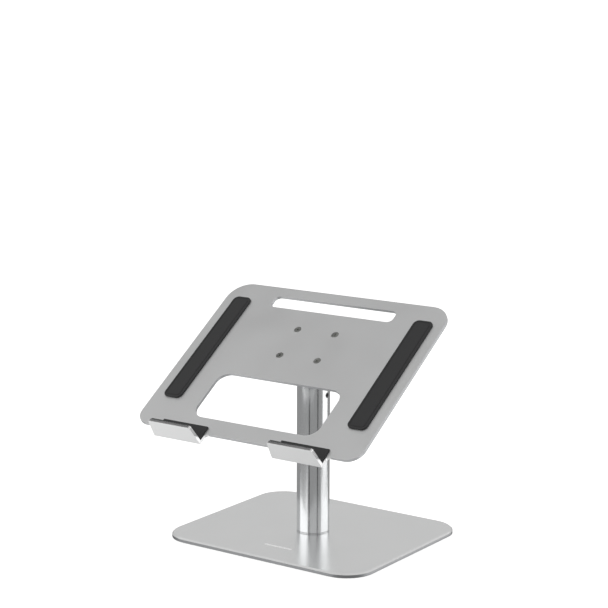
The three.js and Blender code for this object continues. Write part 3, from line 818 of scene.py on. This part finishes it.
@dataclass
class Post(SubAssembly):
    """The tube, its foot plug and the head that carries the tilt hinge."""

    wall: float = 3.0
    end_round: float = 0.5
    plug_gap: float = 0.1
    plug_hole: float = 4.2
    flange: float = 4.0
    spigot: float = 22.0
    lug_width: float = 16.0
    lug_depth: float = 24.0
    stop_reach: float = 13.6
    steepest: float = 45.0
    hinge_hole: float = 3.2
    grub_hole: float = 2.7
    grub_socket: float = 2.5
    grub_socket_depth: float = 2.0
    grub_pitch: float = 0.8
    grub_point: float = 0.5
    lug_sunk: float = 1.0

    @property
    def hinge_height(self) -> float:
        """Height of the tilt hinge, in millimetres."""
        return joint_place("tray_tilt").z / mm(1)

    def build(self) -> None:
        """Models every piece of the post."""
        self.radius = half_width("column_tube")
        self.foot, self.top = level("column_tube")
        self.grub_height = self.top - self.spigot / 2
        self.shape_tube()
        self.shape_foot_plug()
        self.shape_head()
        self.shape_grubs()

    def cross_drill(self, piece: Piece) -> None:
        """Drills the grub screws' hole through a piece, along X."""
        reach = self.radius + 2 * PAST
        across = drill(self.grub_hole, -reach, reach)
        combine(piece, moved(across, Matrix.Translation((0, 0, mm(self.grub_height))) @ LAY_ALONG_X))

    def shape_tube(self) -> None:
        """The tube, its ends rounded and its grub holes drilled."""
        outer, inner, ease = self.radius, self.radius - self.wall, self.end_round
        slope = ease * (1 - math.sqrt(0.5))
        tube = turned(
            "post_tube",
            [
                (inner, self.foot),
                (outer - ease, self.foot),
                (outer - slope, self.foot + slope),
                (outer, self.foot + ease),
                (outer, self.top - ease),
                (outer - slope, self.top - slope),
                (outer - ease, self.top),
                (inner, self.top),
            ],
            192,
            True,
        )
        self.cross_drill(tube)
        smooth(tube)
        self.fit(moved(tube, self.axis), "column_tube", "brushed_aluminium", TURNED_TUBE)

    def shape_foot_plug(self) -> None:
        """The plug in the tube's foot, which turns on the pivot bolt."""
        outer = self.radius - self.wall - self.plug_gap
        plug = washer("post_foot_plug", self.plug_hole, outer, *level("column_foot_plug"), 128)
        soften(plug, 0.4)
        self.fit(moved(plug, self.axis), "column_foot_plug", "zinc_steel", ZINC_STEEL)

    def shape_head(self) -> None:
        """Spigot, flange and lug in one: flat stops for level and steepest, with a round between."""
        outer, ease = self.radius, self.end_round
        slope = ease * (1 - math.sqrt(0.5))
        spigot = outer - self.wall - self.plug_gap
        top = self.top + self.flange
        head = turned(
            "post_head",
            [
                (spigot - 0.4, self.top - self.spigot),
                (spigot, self.top - self.spigot + 0.4),
                (spigot, self.top),
                (outer - ease, self.top),
                (outer - slope, self.top + slope),
                (outer, self.top + ease),
                (outer, top - ease),
                (outer - slope, top - slope),
                (outer - ease, top),
            ],
            192,
        )
        half, deep, reach = self.lug_width / 2, self.lug_depth / 2, self.stop_reach
        hinge = self.hinge_height
        lug = block("lug", spot(-half, -deep, top - self.lug_sunk), spot(half, deep, hinge + reach))
        steep = math.radians(self.steepest)
        across = Vector((0, -math.sin(steep), math.cos(steep)))
        on_stop = Vector((0, 0, mm(hinge))) + across * mm(reach)
        with shaping(lug):
            bpy.ops.mesh.bisect(plane_co=on_stop, plane_no=across, use_fill=True, clear_outer=True)
            pick(
                lug,
                "EDGE",
                lambda e: middle(e).z > mm(hinge + reach) - HAIR
                and abs(middle(e).y + mm(reach) * math.tan(steep / 2)) < mm(0.01)
                and abs(middle(e).x) < HAIR,
            )
            bpy.ops.mesh.bevel(offset=mm(reach) * math.tan(steep / 2), segments=14, affect="EDGES")
        combine(head, lug, "UNION")
        hole = drill(self.hinge_hole, -half - 2 * PAST, half + 2 * PAST, 64)
        combine(head, moved(hole, Matrix.Translation((0, 0, mm(hinge))) @ LAY_ALONG_X))
        self.cross_drill(head)
        soften(head, 0.3, 2, math.radians(40))
        self.fit(moved(head, self.axis), "column_head", "satin_aluminium", MACHINED_HEAD)

    def shape_grubs(self) -> None:
        """Two cup-point grub screws with hexagon sockets."""
        low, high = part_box("head_grub_right")
        start, end = low.x / mm(1), high.x / mm(1)
        radius = (high.z - low.z) / 2 / mm(1)
        point = self.grub_point
        grub = turned(
            "post_grub_right",
            [
                (radius - 1.2, start + point),
                (radius - 0.9, start),
                *ridges(radius, start + point, end - point, self.grub_pitch),
                (radius - point, end),
            ],
            64,
        )
        combine(grub, hexagon("socket", self.grub_socket, end - self.grub_socket_depth, end + PAST))
        smooth(grub)
        raise_it = Matrix.Translation((0, 0, mm(self.grub_height)))
        other = copied(grub, "post_grub_left", raise_it @ Matrix.Rotation(math.pi, 4, "Z") @ LAY_ALONG_X)
        moved(grub, raise_it @ LAY_ALONG_X)
        for piece, cad in ((grub, "head_grub_right"), (other, "head_grub_left")):
            self.fit(moved(piece, self.axis), cad, "black_steel", BLACK_STEEL)


@dataclass
class Tray(SubAssembly):
    """The sheet with its hooks, the bracket beneath, the hinge and the pads.

    Everything is modelled level with the hinge's axis on X, and then tilted and raised.
    """

    rest_tilt: float = 34.0
    width: float = 270.0
    sheet: float = 3.0
    underside: float = 17.3
    reach_front: float = 135.0
    reach_back: float = 75.0
    front_corner: float = 16.0
    back_corner: float = 24.0
    edge_round: float = 0.3
    vent_half: float = 75.0
    vent_front: float = -115.0
    vent_back: float = -53.0
    vent_corner: float = 14.0
    slot_half: float = 75.0
    slot_front: float = 46.0
    slot_back: float = 62.0
    slot_corner: float = 6.0
    hook_width: float = 57.5
    hook_centre: float = 72.4
    tab: float = 12.0
    tab_fillet: float = 4.0
    bend: float = 0.6
    bend_outside: float = 1.0
    lip_top: float = 40.9
    lip_lean: float = 2.0
    lip_taper: float = 3.0
    lip_corner: float = 1.5
    pad: float = 1.5
    pad_gap: float = 0.3
    liner_reach: float = 20.0
    liner_side: float = 1.0
    liner_top: float = 0.8
    liner_corner: float = 0.9
    strip_centre: float = 112.0
    strip_half: float = 11.0
    strip_front: float = -97.0
    strip_back: float = 53.0
    strip_corner: float = 6.0
    strip_rim: float = 0.5
    strip_border: tuple[float, float] = (1.6, 0.9)
    strip_groove: float = 0.3
    screw_across: tuple[float, float] = (23.0, 19.0)
    screw_head: float = 3.8
    screw_shank: float = 2.0
    screw_rim: float = 0.4
    screw_length: float = 6.0
    screw_socket: float = 2.5
    screw_socket_depth: float = 1.4
    shaft_gap: float = 0.2
    bracket_half: tuple[float, float] = (31.0, 27.0)
    bracket_sheet: float = 3.0
    bracket_corner: float = 6.0
    cheek_inner: float = 9.4
    cheek_round: float = 11.0
    cheek_deep: float = 22.0
    cheek_sunk: tuple[float, float] = (0.5, 1.5)
    bolt: float = 3.0
    bolt_head: float = 5.5
    bolt_head_ease: float = 0.8
    bolt_start: float = -19.2
    bolt_seat: float = -14.2
    bolt_thread: float = 12.0
    bolt_pitch: float = 1.0
    bolt_end: float = 23.0
    bolt_tip: Ring = (0.8, 0.6)
    bolt_socket: Point = (4.0, -20.0, -16.2)  # here and below: across or radius, start, end
    plain_washer: Point = (7.5, -13.9, -12.7)
    cone: Point = (7.0, 12.7, 14.7)
    cone_sheet: float = 1.0
    friction_ring: Point = (10.0, 8.2, 9.2)
    nut: Point = (10.0, 15.0, 21.0)

    @property
    def place(self) -> Matrix:
        """From level, with the hinge at the origin, to tilted on the post."""
        tilt = Matrix.Rotation(math.radians(self.rest_tilt), 4, "X")
        return Matrix.Translation(joint_place("tray_tilt")) @ tilt

    @property
    def top(self) -> float:
        """Height of the sheet's top above the hinge."""
        return self.underside + self.sheet

    @property
    def lean(self) -> float:
        """How far a lip leans out, in radians."""
        return math.radians(self.lip_lean)

    def build(self) -> None:
        """Models every piece of the tray."""
        self.shape_sheet()
        self.shape_hook_liners()
        self.shape_strips()
        self.shape_bracket()
        self.shape_screws()
        self.shape_hinge()

    def round_corners(self, piece: Piece, x: float, y: float, radius: float, steps: int = 14) -> None:
        """Rounds the two corners of a flat outline that lie at plus and minus x."""
        pick(
            piece,
            "VERT",
            lambda v: abs(abs(v.co.x) - mm(x)) < mm(0.01) and abs(v.co.y - mm(y)) < mm(0.01),
        )
        bpy.ops.mesh.bevel(offset=mm(radius), segments=steps, affect="VERTICES")

    def at_hook(self, x: float, side: int) -> bool:
        """True for a place, in metres, within the width of one hook."""
        return abs(x - side * mm(self.hook_centre)) < mm(self.hook_width / 2 + 0.01)

    def shape_sheet(self) -> None:
        """Flat outline, tabs drawn out and bent up, thickness, openings and eased edges."""
        front, back = -self.reach_front, self.reach_back
        sheet = start_piece(
            "tray_sheet",
            bpy.ops.mesh.primitive_plane_add,
            (mm(self.width), mm(back - front), 1),
            size=1,
            location=spot(0, (front + back) / 2, self.top),
        )
        half = self.hook_width / 2
        fold = (1 - math.sin(self.lean)) / math.cos(self.lean)
        outer_y = front - self.tab + (self.sheet + self.bend) * (1 - fold)
        inner_y = outer_y + self.sheet * fold
        with shaping(sheet):
            for side, end in ((-1, -half), (-1, half), (1, -half), (1, half)):
                bpy.ops.mesh.select_all(action="SELECT")
                cut = mm(side * self.hook_centre + end)
                bpy.ops.mesh.bisect(plane_co=(cut, 0, 0), plane_no=(1, 0, 0))
            pick(
                sheet,
                "EDGE",
                lambda e: abs(middle(e).y - mm(front)) < HAIR
                and (self.at_hook(middle(e).x, -1) or self.at_hook(middle(e).x, 1))
                and abs(e.verts[0].co.y - e.verts[1].co.y) < HAIR
                and e.calc_length() < mm(self.hook_width + 1),
            )
            bpy.ops.mesh.extrude_edges_move(TRANSFORM_OT_translate={"value": spot(0, inner_y - front, 0)})
            bpy.ops.mesh.select_all(action="SELECT")
            bpy.ops.mesh.dissolve_limited(angle_limit=math.radians(1))
            self.round_corners(sheet, self.width / 2, front, self.front_corner)
            self.round_corners(sheet, self.width / 2, back, self.back_corner)
            self.round_corners(sheet, self.hook_centre - half, front, self.tab_fillet, 8)
            self.round_corners(sheet, self.hook_centre + half, front, self.tab_fillet, 8)
            pick(
                sheet,
                "EDGE",
                lambda e: abs(middle(e).y - mm(inner_y)) < HAIR and e.calc_length() > mm(half),
            )
            for rise in (self.bend, self.lip_top - self.top - self.bend):
                bpy.ops.mesh.extrude_edges_move(
                    TRANSFORM_OT_translate={"value": spot(0, -rise * math.tan(self.lean), rise)}
                )
            for side in (-1, 1):
                pick(
                    sheet,
                    "VERT",
                    lambda v: v.co.z > mm(self.lip_top) - mm(0.01) and self.at_hook(v.co.x, side),
                )
                narrow = (half - self.lip_taper) / half
                bpy.ops.transform.resize(
                    value=(narrow, 1, 1), center_override=(side * mm(self.hook_centre), 0, 0)
                )
            pick(sheet, "VERT", lambda v: v.co.z > mm(self.lip_top) - mm(0.01))
            bpy.ops.mesh.bevel(offset=mm(self.lip_corner), segments=8, affect="VERTICES")
            bpy.ops.mesh.select_all(action="SELECT")
            bpy.ops.mesh.remove_doubles(threshold=HAIR)
            bpy.ops.mesh.normals_make_consistent(inside=False)
            self.face_up(sheet)
        apply_modifier(
            sheet, "SOLIDIFY", thickness=mm(self.sheet), offset=-1, use_even_offset=True
        )
        with shaping(sheet):
            turn = math.tan((math.pi / 2 - self.lean) / 2)
            for radius, y, z in (
                (self.bend_outside, outer_y, self.underside),
                (self.bend, inner_y, self.top),
            ):
                line = spot(0, y, z)
                pick(sheet, "EDGE", lambda e: all((v.co - line).yz.length < mm(0.05) for v in e.verts))
                bpy.ops.mesh.bevel(offset=mm(radius) * turn, segments=5, affect="EDGES")
        self.cut_openings(sheet)
        soften(sheet, self.edge_round)
        recolour(sheet, 1, lambda f: f.center.y > mm(front) and abs(f.normal.z) < 0.7)
        recolour(sheet, 2, lambda f: f.center.y < mm(front) and abs(f.normal.x) > 0.5)
        recolour(sheet, 2, lambda f: f.center.z > mm(self.lip_top - 1) and abs(f.normal.y) < 0.7)
        finishes = (SATIN_TRAY, SHEARED_EDGE, POLISHED_EDGE)
        self.fit(moved(sheet, self.place), "tray", "satin_aluminium", *finishes)

    def face_up(self, piece: Piece) -> None:
        """Turns an open sheet over if its largest face looks down."""
        shape = bmesh.from_edit_mesh(piece.data)
        largest = max(shape.faces, key=lambda f: f.calc_area())
        if largest.normal.z < 0:
            bpy.ops.mesh.flip_normals()

    def cut_openings(self, sheet: Piece) -> None:
        """Cuts the vent, the rear slot and the countersunk screw holes."""
        below, above = self.underside - PAST, self.top + PAST
        for half, front, back, corner, steps in (
            (self.vent_half, self.vent_front, self.vent_back, self.vent_corner, 16),
            (self.slot_half, self.slot_front, self.slot_back, self.slot_corner, 10),
        ):
            low, high = spot(-half, front, below), spot(half, back, above)
            combine(sheet, rounded_block("opening", low, high, corner, steps))
        head = self.screw_head + self.shaft_gap
        shank = self.screw_shank + self.shaft_gap
        rim = self.top - self.screw_rim - self.pad_gap
        for x, y in self.screw_places().values():
            profile = [(shank, below), (shank, rim - (head - shank)), (head, rim), (head, above)]
            combine(sheet, moved(turned("sink", profile, 64), Matrix.Translation(spot(x, y, 0))))

    def screw_places(self) -> dict[str, tuple[float, float]]:
        """Where the four screws stand, by corner."""
        x, y = self.screw_across
        return dict(zip(CORNERS, ((-x, -y), (x, -y), (-x, y), (x, y))))

    def shape_hook_liners(self) -> None:
        """Silicone that lines a hook: over the tab, round the bend and up the lip."""
        front = -self.reach_front - self.tab
        near = self.sheet + self.pad_gap
        base = self.underside + near
        soft = self.bend + self.pad_gap
        reach = front + self.liner_reach
        half = self.hook_width / 2 - self.liner_side
        top = self.lip_top - self.liner_top

        def line(z: float) -> float:
            """The liner's back on the lip at a height."""
            return front + near - math.tan(self.lean) * (z - self.underside)

        start = line(base) + soft
        liner = start_piece(
            "hook_liner_right",
            bpy.ops.mesh.primitive_plane_add,
            (mm(2 * half), mm(reach - start), 1),
            size=1,
            location=spot(0, (reach + start) / 2, base),
        )
        with shaping(liner):
            pick(liner, "EDGE", lambda e: abs(middle(e).y - mm(start)) < HAIR)
            bpy.ops.mesh.extrude_edges_move(
                TRANSFORM_OT_translate={"value": spot(0, line(base + soft) - start, soft)}
            )
            bpy.ops.mesh.extrude_edges_move(
                TRANSFORM_OT_translate={
                    "value": spot(0, line(top) - line(base + soft), top - base - soft)
                }
            )
            narrow = (half - self.lip_taper) / half
            bpy.ops.transform.resize(value=(narrow, 1, 1), center_override=(0, 0, 0))
            bpy.ops.mesh.select_mode(type="VERT")
            bpy.ops.mesh.bevel(offset=mm(self.liner_corner), segments=8, affect="VERTICES")
            bpy.ops.mesh.select_all(action="SELECT")
            bpy.ops.mesh.normals_make_consistent(inside=False)
            self.face_up(liner)
        apply_modifier(liner, "SOLIDIFY", thickness=mm(self.pad), offset=1, use_even_offset=True)
        soften(liner, 0.35, 3)
        shift = spot(self.hook_centre, 0, 0)
        other = copied(liner, "hook_liner_left", self.place @ Matrix.Translation(-shift))
        moved(liner, self.place @ Matrix.Translation(shift))
        self.fit(liner, "hook_pad_right", "silicone", SILICONE)
        self.fit(other, "hook_pad_left", "silicone", SILICONE)

    def shape_strips(self) -> None:
        """Long silicone strips with a soft crown and a shallow border groove."""
        middle_x, half = self.strip_centre, self.strip_half
        low = self.top + self.pad_gap
        high = low + self.pad
        strip = rounded_block(
            "tray_grip_right",
            spot(middle_x - half, self.strip_front, low),
            spot(middle_x + half, self.strip_back, high),
            self.strip_corner,
            12,
        )
        with shaping(strip):
            pick(strip, "EDGE", lambda e: middle(e).z > mm(high) - HAIR)
            bpy.ops.mesh.bevel(offset=mm(self.strip_rim), segments=3, affect="EDGES")
            pick(strip, "FACE", lambda f: f.normal.z > 0.99)
            for inward, sink in zip(self.strip_border, (-self.strip_groove, self.strip_groove)):
                bpy.ops.mesh.inset(thickness=mm(inward))
                bpy.ops.mesh.extrude_region_move(TRANSFORM_OT_translate={"value": spot(0, 0, sink)})
        soften(strip, 0.1, 2, STEEP)
        across = Matrix.Translation(spot(-2 * middle_x, 0, 0))
        other = copied(strip, "tray_grip_left", self.place @ across)
        moved(strip, self.place)
        self.fit(strip, "tray_strip_right", "silicone", SILICONE)
        self.fit(other, "tray_strip_left", "silicone", SILICONE)

    def shape_bracket(self) -> None:
        """Plate under the tray with a rounded cheek on each side of the lug."""
        x, y = self.bracket_half
        high = self.underside - self.pad_gap
        low = high - self.bracket_sheet
        bracket = rounded_block(
            "tray_cradle", spot(-x, -y, low), spot(x, y, high), self.bracket_corner, 10
        )
        for side in (-1, 1):
            inner = self.cheek_inner
            outer = inner + self.bracket_sheet
            cheek = turned("cheek", [(self.cheek_round, inner), (self.cheek_round, outer)], 96)
            moved(cheek, LAY_ALONG_X)
            deep = self.cheek_deep
            sunk, end = self.cheek_sunk
            wide = block("wide", spot(inner, -deep, low + sunk), spot(outer, deep, low + end))
            choose(cheek)
            wide.select_set(True)
            bpy.ops.object.join()
            with shaping(cheek):
                bpy.ops.mesh.convex_hull()
                bpy.ops.mesh.dissolve_limited(angle_limit=math.radians(1))
            if side < 0:
                moved(cheek, Matrix.Rotation(math.pi, 4, "Z"))
            combine(bracket, cheek, "UNION")
        combine(bracket, moved(drill(self.bolt + self.shaft_gap, -x, x, 64), LAY_ALONG_X))
        for at in self.screw_places().values():
            hole = drill(self.screw_shank + self.shaft_gap, low - 2 * PAST, high + 2 * PAST)
            combine(bracket, moved(hole, Matrix.Translation(spot(*at, 0))))
        soften(bracket, 0.35)
        moved(bracket, self.place)
        self.fit(bracket, "tray_bracket", "black_steel", BLACK_STEEL)

    def shape_screws(self) -> None:
        """One countersunk screw with a hexagon socket, and three copies of it."""
        top, head, shank = self.top, self.screw_head, self.screw_shank
        screw = turned(
            "tray_fixing_front_left",
            [
                (shank - 0.4, top - self.screw_length),
                (shank, top - self.screw_length + 0.4),
                (shank, top - self.screw_rim - (head - shank)),
                (head, top - self.screw_rim),
                (head, top - 0.12),
                (head - 0.12, top),
            ],
            64,
        )
        socket_end = top - self.screw_socket_depth
        combine(screw, hexagon("socket", self.screw_socket, socket_end, top + PAST))
        soften(screw, 0.08, 2, STEEP)
        places = {c: self.place @ Matrix.Translation(spot(*at, 0)) for c, at in self.screw_places().items()}
        screws = {c: copied(screw, f"tray_fixing_{c}", places[c]) for c in CORNERS[1:]}
        screws[CORNERS[0]] = moved(screw, places[CORNERS[0]])
        for corner in (*CORNERS[1:], CORNERS[0]):
            self.fit(screws[corner], f"tray_screw_{corner}", "zinc_steel", ZINC_STEEL)

    def shape_hinge(self) -> None:
        """The tilt bolt along X, with its washers, cone spring and lock nut."""
        shank, hole = self.bolt, self.bolt + self.shaft_gap
        head, seat, ease = self.bolt_head, self.bolt_seat, self.bolt_head_ease
        tip_inward, tip_down = self.bolt_tip
        bolt = turned(
            "tilt_bolt",
            [
                (head - ease, self.bolt_start),
                (head, self.bolt_start + ease),
                (head, seat),
                (shank, seat),
                *ridges(shank, self.bolt_thread, self.bolt_end - tip_down, self.bolt_pitch),
                (shank - tip_inward, self.bolt_end),
            ],
            64,
        )
        combine(bolt, hexagon("socket", *self.bolt_socket))
        soften(bolt, 0.08, 2, STEEP)
        plain = washer("tilt_plain_washer", hole, *self.plain_washer)
        spring = cone_spring("tilt_cone_spring", hole, self.cone, self.cone_sheet, 64)
        outer, near, far = self.friction_ring
        right = washer("tilt_friction_ring_right", hole, outer, near, far, 96)
        left = washer("tilt_friction_ring_left", hole, outer, -far, -near, 96)
        for ring in (plain, spring, right, left):
            soften(ring, 0.12)
        nut = LockNut(*self.nut, hole).shape("tilt_lock_nut")
        for piece, cad, slot, finishes in (
            (bolt, "hinge_bolt", "black_steel", (BLACK_STEEL,)),
            (plain, "hinge_washer", "zinc_steel", (ZINC_STEEL,)),
            (spring, "hinge_disc_spring", "zinc_steel", (ZINC_STEEL,)),
            (nut, "hinge_nut", "zinc_steel", (ZINC_STEEL, NYLON)),
            (right, "friction_washer_right", "nylon", (NYLON,)),
            (left, "friction_washer_left", "nylon", (NYLON,)),
        ):
            self.fit(moved(piece, self.place @ LAY_ALONG_X), cad, slot, *finishes)


# ---------------------------------------------------------------- studio


@dataclass
class SoftBox:
    """A flat soft light that stands round the stand.

    Attributes:
        name: the light's name.
        bearing: degrees from the camera's side, towards its right.
        distance: from the post, in metres.
        width: across, in metres.
        low: height of its lower edge, in metres.
        high: height of its upper edge, in metres.
        glow: how bright its face looks, where one is white.
    """

    name: str
    bearing: float
    distance: float
    width: float
    low: float
    high: float
    glow: float


@dataclass
class Studio:
    """Camera, pale floor and soft light."""

    yaw: float = 35.04
    pitch: float = 10.59
    roll: float = 0.18
    camera_place: Point = (1.0446, -1.4856, 0.5851)
    focal_pixels: float = 1845.9
    frame_pixels: float = 608.0
    floor_half: float = 60.0
    boxes: tuple[SoftBox, ...] = (
        SoftBox("card_right", 92.0, 1.6, 2.2, 0.05, 0.8, 1.16),
        SoftBox("card_right_middle", 90.0, 1.6, 1.37, -0.405, 0.05, 1.12),
        SoftBox("card_right_low", 91.0, 0.5, 0.68, -0.4, -0.105, 1.08),
        SoftBox("card_left", -70.7, 1.6, 2.05, 0.12, 1.4, 1.14),
        SoftBox("card_left_low", -70.7, 0.5, 0.63, -0.4, -0.118, 1.08),
    )

    flags: tuple[tuple[str, float], ...] = (("flag_left", -27.7), ("flag_right", 31.0))
    flag_width: float = 0.16
    flag_distance: float = 1.6
    flag_heights: tuple[float, float] = (-1.0, 1.4)
    floor_drop: float = 0.0001
    floor_glow: float = 0.5
    sky: tuple[tuple[float, float], ...] = (
        (-90, 0.8), (-40, 0.8), (-27, 0.33), (-8, 0.33), (3, 0.6), (18, 0.7), (35, 0.8), (90, 0.8)
    )
    dim_way: Point = (-0.5645, 0.133, 0.8147)
    dim_edges: tuple[float, float] = (13.0, 9.0)
    dim_grey: float = 0.08

    def build(self) -> None:
        """Puts up the camera, the floor and the lights."""
        self.set_camera()
        self.lay_floor()
        self.hang_world()
        for box in self.boxes:
            self.stand_box(box)
        for name, bearing in self.flags:
            self.stand_flag(name, bearing)
        view = bpy.context.scene.view_settings
        view.view_transform = "Standard"
        view.look = "None"

    def set_camera(self) -> None:
        """A long lens, above and to the right of the stand's front."""
        data = bpy.data.cameras.new("camera")
        data.sensor_width = 36.0
        data.lens = self.focal_pixels / self.frame_pixels * data.sensor_width
        data.clip_start, data.clip_end = 0.05, 200.0
        camera = bpy.data.objects.new("camera", data)
        bpy.context.scene.collection.objects.link(camera)
        yaw, pitch, roll = (math.radians(a) for a in (self.yaw, self.pitch, self.roll))
        ahead = Vector(
            (-math.sin(yaw) * math.cos(pitch), math.cos(yaw) * math.cos(pitch), -math.sin(pitch))
        )
        right = Vector((math.cos(yaw), math.sin(yaw), 0))
        up = right.cross(ahead)
        leaned = right * math.cos(roll) + up * math.sin(roll)
        upright = up * math.cos(roll) - right * math.sin(roll)
        turn = Matrix((leaned, upright, -ahead)).transposed().to_4x4()
        camera.matrix_world = Matrix.Translation(self.camera_place) @ turn
        bpy.context.scene.camera = camera

    def lay_floor(self) -> None:
        """A pale floor that glows a little, so that shadows on it stay faint."""
        floor = start_piece(
            "floor",
            bpy.ops.mesh.primitive_plane_add,
            (2 * self.floor_half, 2 * self.floor_half, 1),
            size=1,
            location=(0, 0, -self.floor_drop),
        )
        made = bpy.data.materials.new("paper_white_sweep")
        made.use_nodes = True
        shader = made.node_tree.nodes["Principled BSDF"]
        shader.inputs["Base Color"].default_value = linear("#F4F4F3")
        shader.inputs["Roughness"].default_value = 0.9
        shader.inputs["Specular IOR Level"].default_value = 0.0
        shader.inputs["Emission Color"].default_value = (1, 1, 1, 1)
        shader.inputs["Emission Strength"].default_value = self.floor_glow
        floor.data.materials.append(made)
        floor.visible_glossy = False
        floor.visible_shadow = False

    def hang_world(self) -> None:
        """Grey light by height, with one dim patch overhead and plain white behind all."""
        world = bpy.data.worlds.new("soft_studio")
        bpy.context.scene.world = world
        world.use_nodes = True
        tree = world.node_tree
        tree.nodes.clear()
        way = node(tree, "ShaderNodeTexCoord").outputs["Generated"]
        height = node(tree, "ShaderNodeSeparateXYZ", inputs={0: way}).outputs["Z"]
        share = node(
            tree, "ShaderNodeMapRange", inputs={"Value": height, "From Min": -1.0, "From Max": 1.0}
        ).outputs[0]
        ramp = node(tree, "ShaderNodeValToRGB", inputs={0: share})
        band = ramp.color_ramp
        band.interpolation = "EASE"
        while len(band.elements) < len(self.sky):
            band.elements.new(0.5)
        for element, (angle, grey) in zip(band.elements, self.sky):
            element.position = (math.sin(math.radians(angle)) + 1) / 2
            element.color = (grey, grey, grey, 1)
        patch = node(
            tree, "ShaderNodeVectorMath", {"operation": "DOT_PRODUCT"}, {0: way, 1: self.dim_way}
        ).outputs["Value"]
        outer, inner = (math.cos(math.radians(edge)) for edge in self.dim_edges)
        dim = node(
            tree,
            "ShaderNodeMapRange",
            {"interpolation_type": "SMOOTHSTEP"},
            {"Value": patch, "From Min": outer, "From Max": inner},
        ).outputs[0]
        studio = node(
            tree,
            "ShaderNodeMix",
            {"data_type": "RGBA"},
            {0: dim, 6: ramp.outputs[0], 7: (self.dim_grey, self.dim_grey, self.dim_grey, 1)},
        ).outputs[2]
        seen = node(tree, "ShaderNodeLightPath").outputs["Is Camera Ray"]
        sky = node(
            tree, "ShaderNodeMix", {"data_type": "RGBA"}, {0: seen, 6: studio, 7: (1, 1, 1, 1)}
        ).outputs[2]
        light = node(tree, "ShaderNodeBackground", inputs={"Color": sky})
        node(tree, "ShaderNodeOutputWorld", inputs={"Surface": light.outputs[0]})

    def stands_at(self, bearing: float, distance: float, height: float) -> tuple[Vector, Quaternion]:
        """Finds where a card or a flag stands, and how it is turned.

        Args:
            bearing: degrees round the post from the camera's side.
            distance: metres from the post.
            height: metres above the desk.

        Returns:
            Its place, and the turn that makes it face the post.
        """
        angle = math.radians(self.yaw - 90 + bearing)
        out = Vector((math.cos(angle), math.sin(angle), 0))
        return out * distance + Vector((0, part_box("column_tube")[0].y, height)), out.to_track_quat("Z", "Y")

    def stand_box(self, box: SoftBox) -> None:
        """Stands one soft light round the post, facing it."""
        data = bpy.data.lights.new(box.name, "AREA")
        data.shape = "RECTANGLE"
        data.size = box.width
        data.size_y = box.high - box.low
        data.energy = box.glow * math.pi * data.size * data.size_y
        light = bpy.data.objects.new(box.name, data)
        bpy.context.scene.collection.objects.link(light)
        light.rotation_mode = "QUATERNION"
        light.location, light.rotation_quaternion = self.stands_at(
            box.bearing, box.distance, (box.low + box.high) / 2
        )
        light.visible_camera = False

    def stand_flag(self, name: str, bearing: float) -> None:
        """Stands one narrow black flag, which shows only as a thin dark line in polished metal."""
        low, high = self.flag_heights
        at, turn = self.stands_at(bearing, self.flag_distance, (low + high) / 2)
        flag = start_piece(
            name, bpy.ops.mesh.primitive_plane_add, (self.flag_width, high - low, 1), size=1
        )
        moved(flag, Matrix.Translation(at) @ turn.to_matrix().to_4x4())
        made = bpy.data.materials.new(name)
        made.use_nodes = True
        shader = made.node_tree.nodes["Principled BSDF"]
        shader.inputs["Base Color"].default_value = (0, 0, 0, 1)
        shader.inputs["Specular IOR Level"].default_value = 0.0
        flag.data.materials.append(made)
        flag.visible_camera = flag.visible_diffuse = flag.visible_shadow = False


def main() -> None:
    """Builds the studio and every sub-assembly."""
    logging.basicConfig(level=logging.INFO, format="%(message)s")
    Studio().build()
    for part in (DeskBase("base"), Post("column"), Tray("tray")):
        part.build()
        LOG.info("%s: %d pieces", type(part).__name__, len(part.made))


if __name__ == "__main__":
    main()
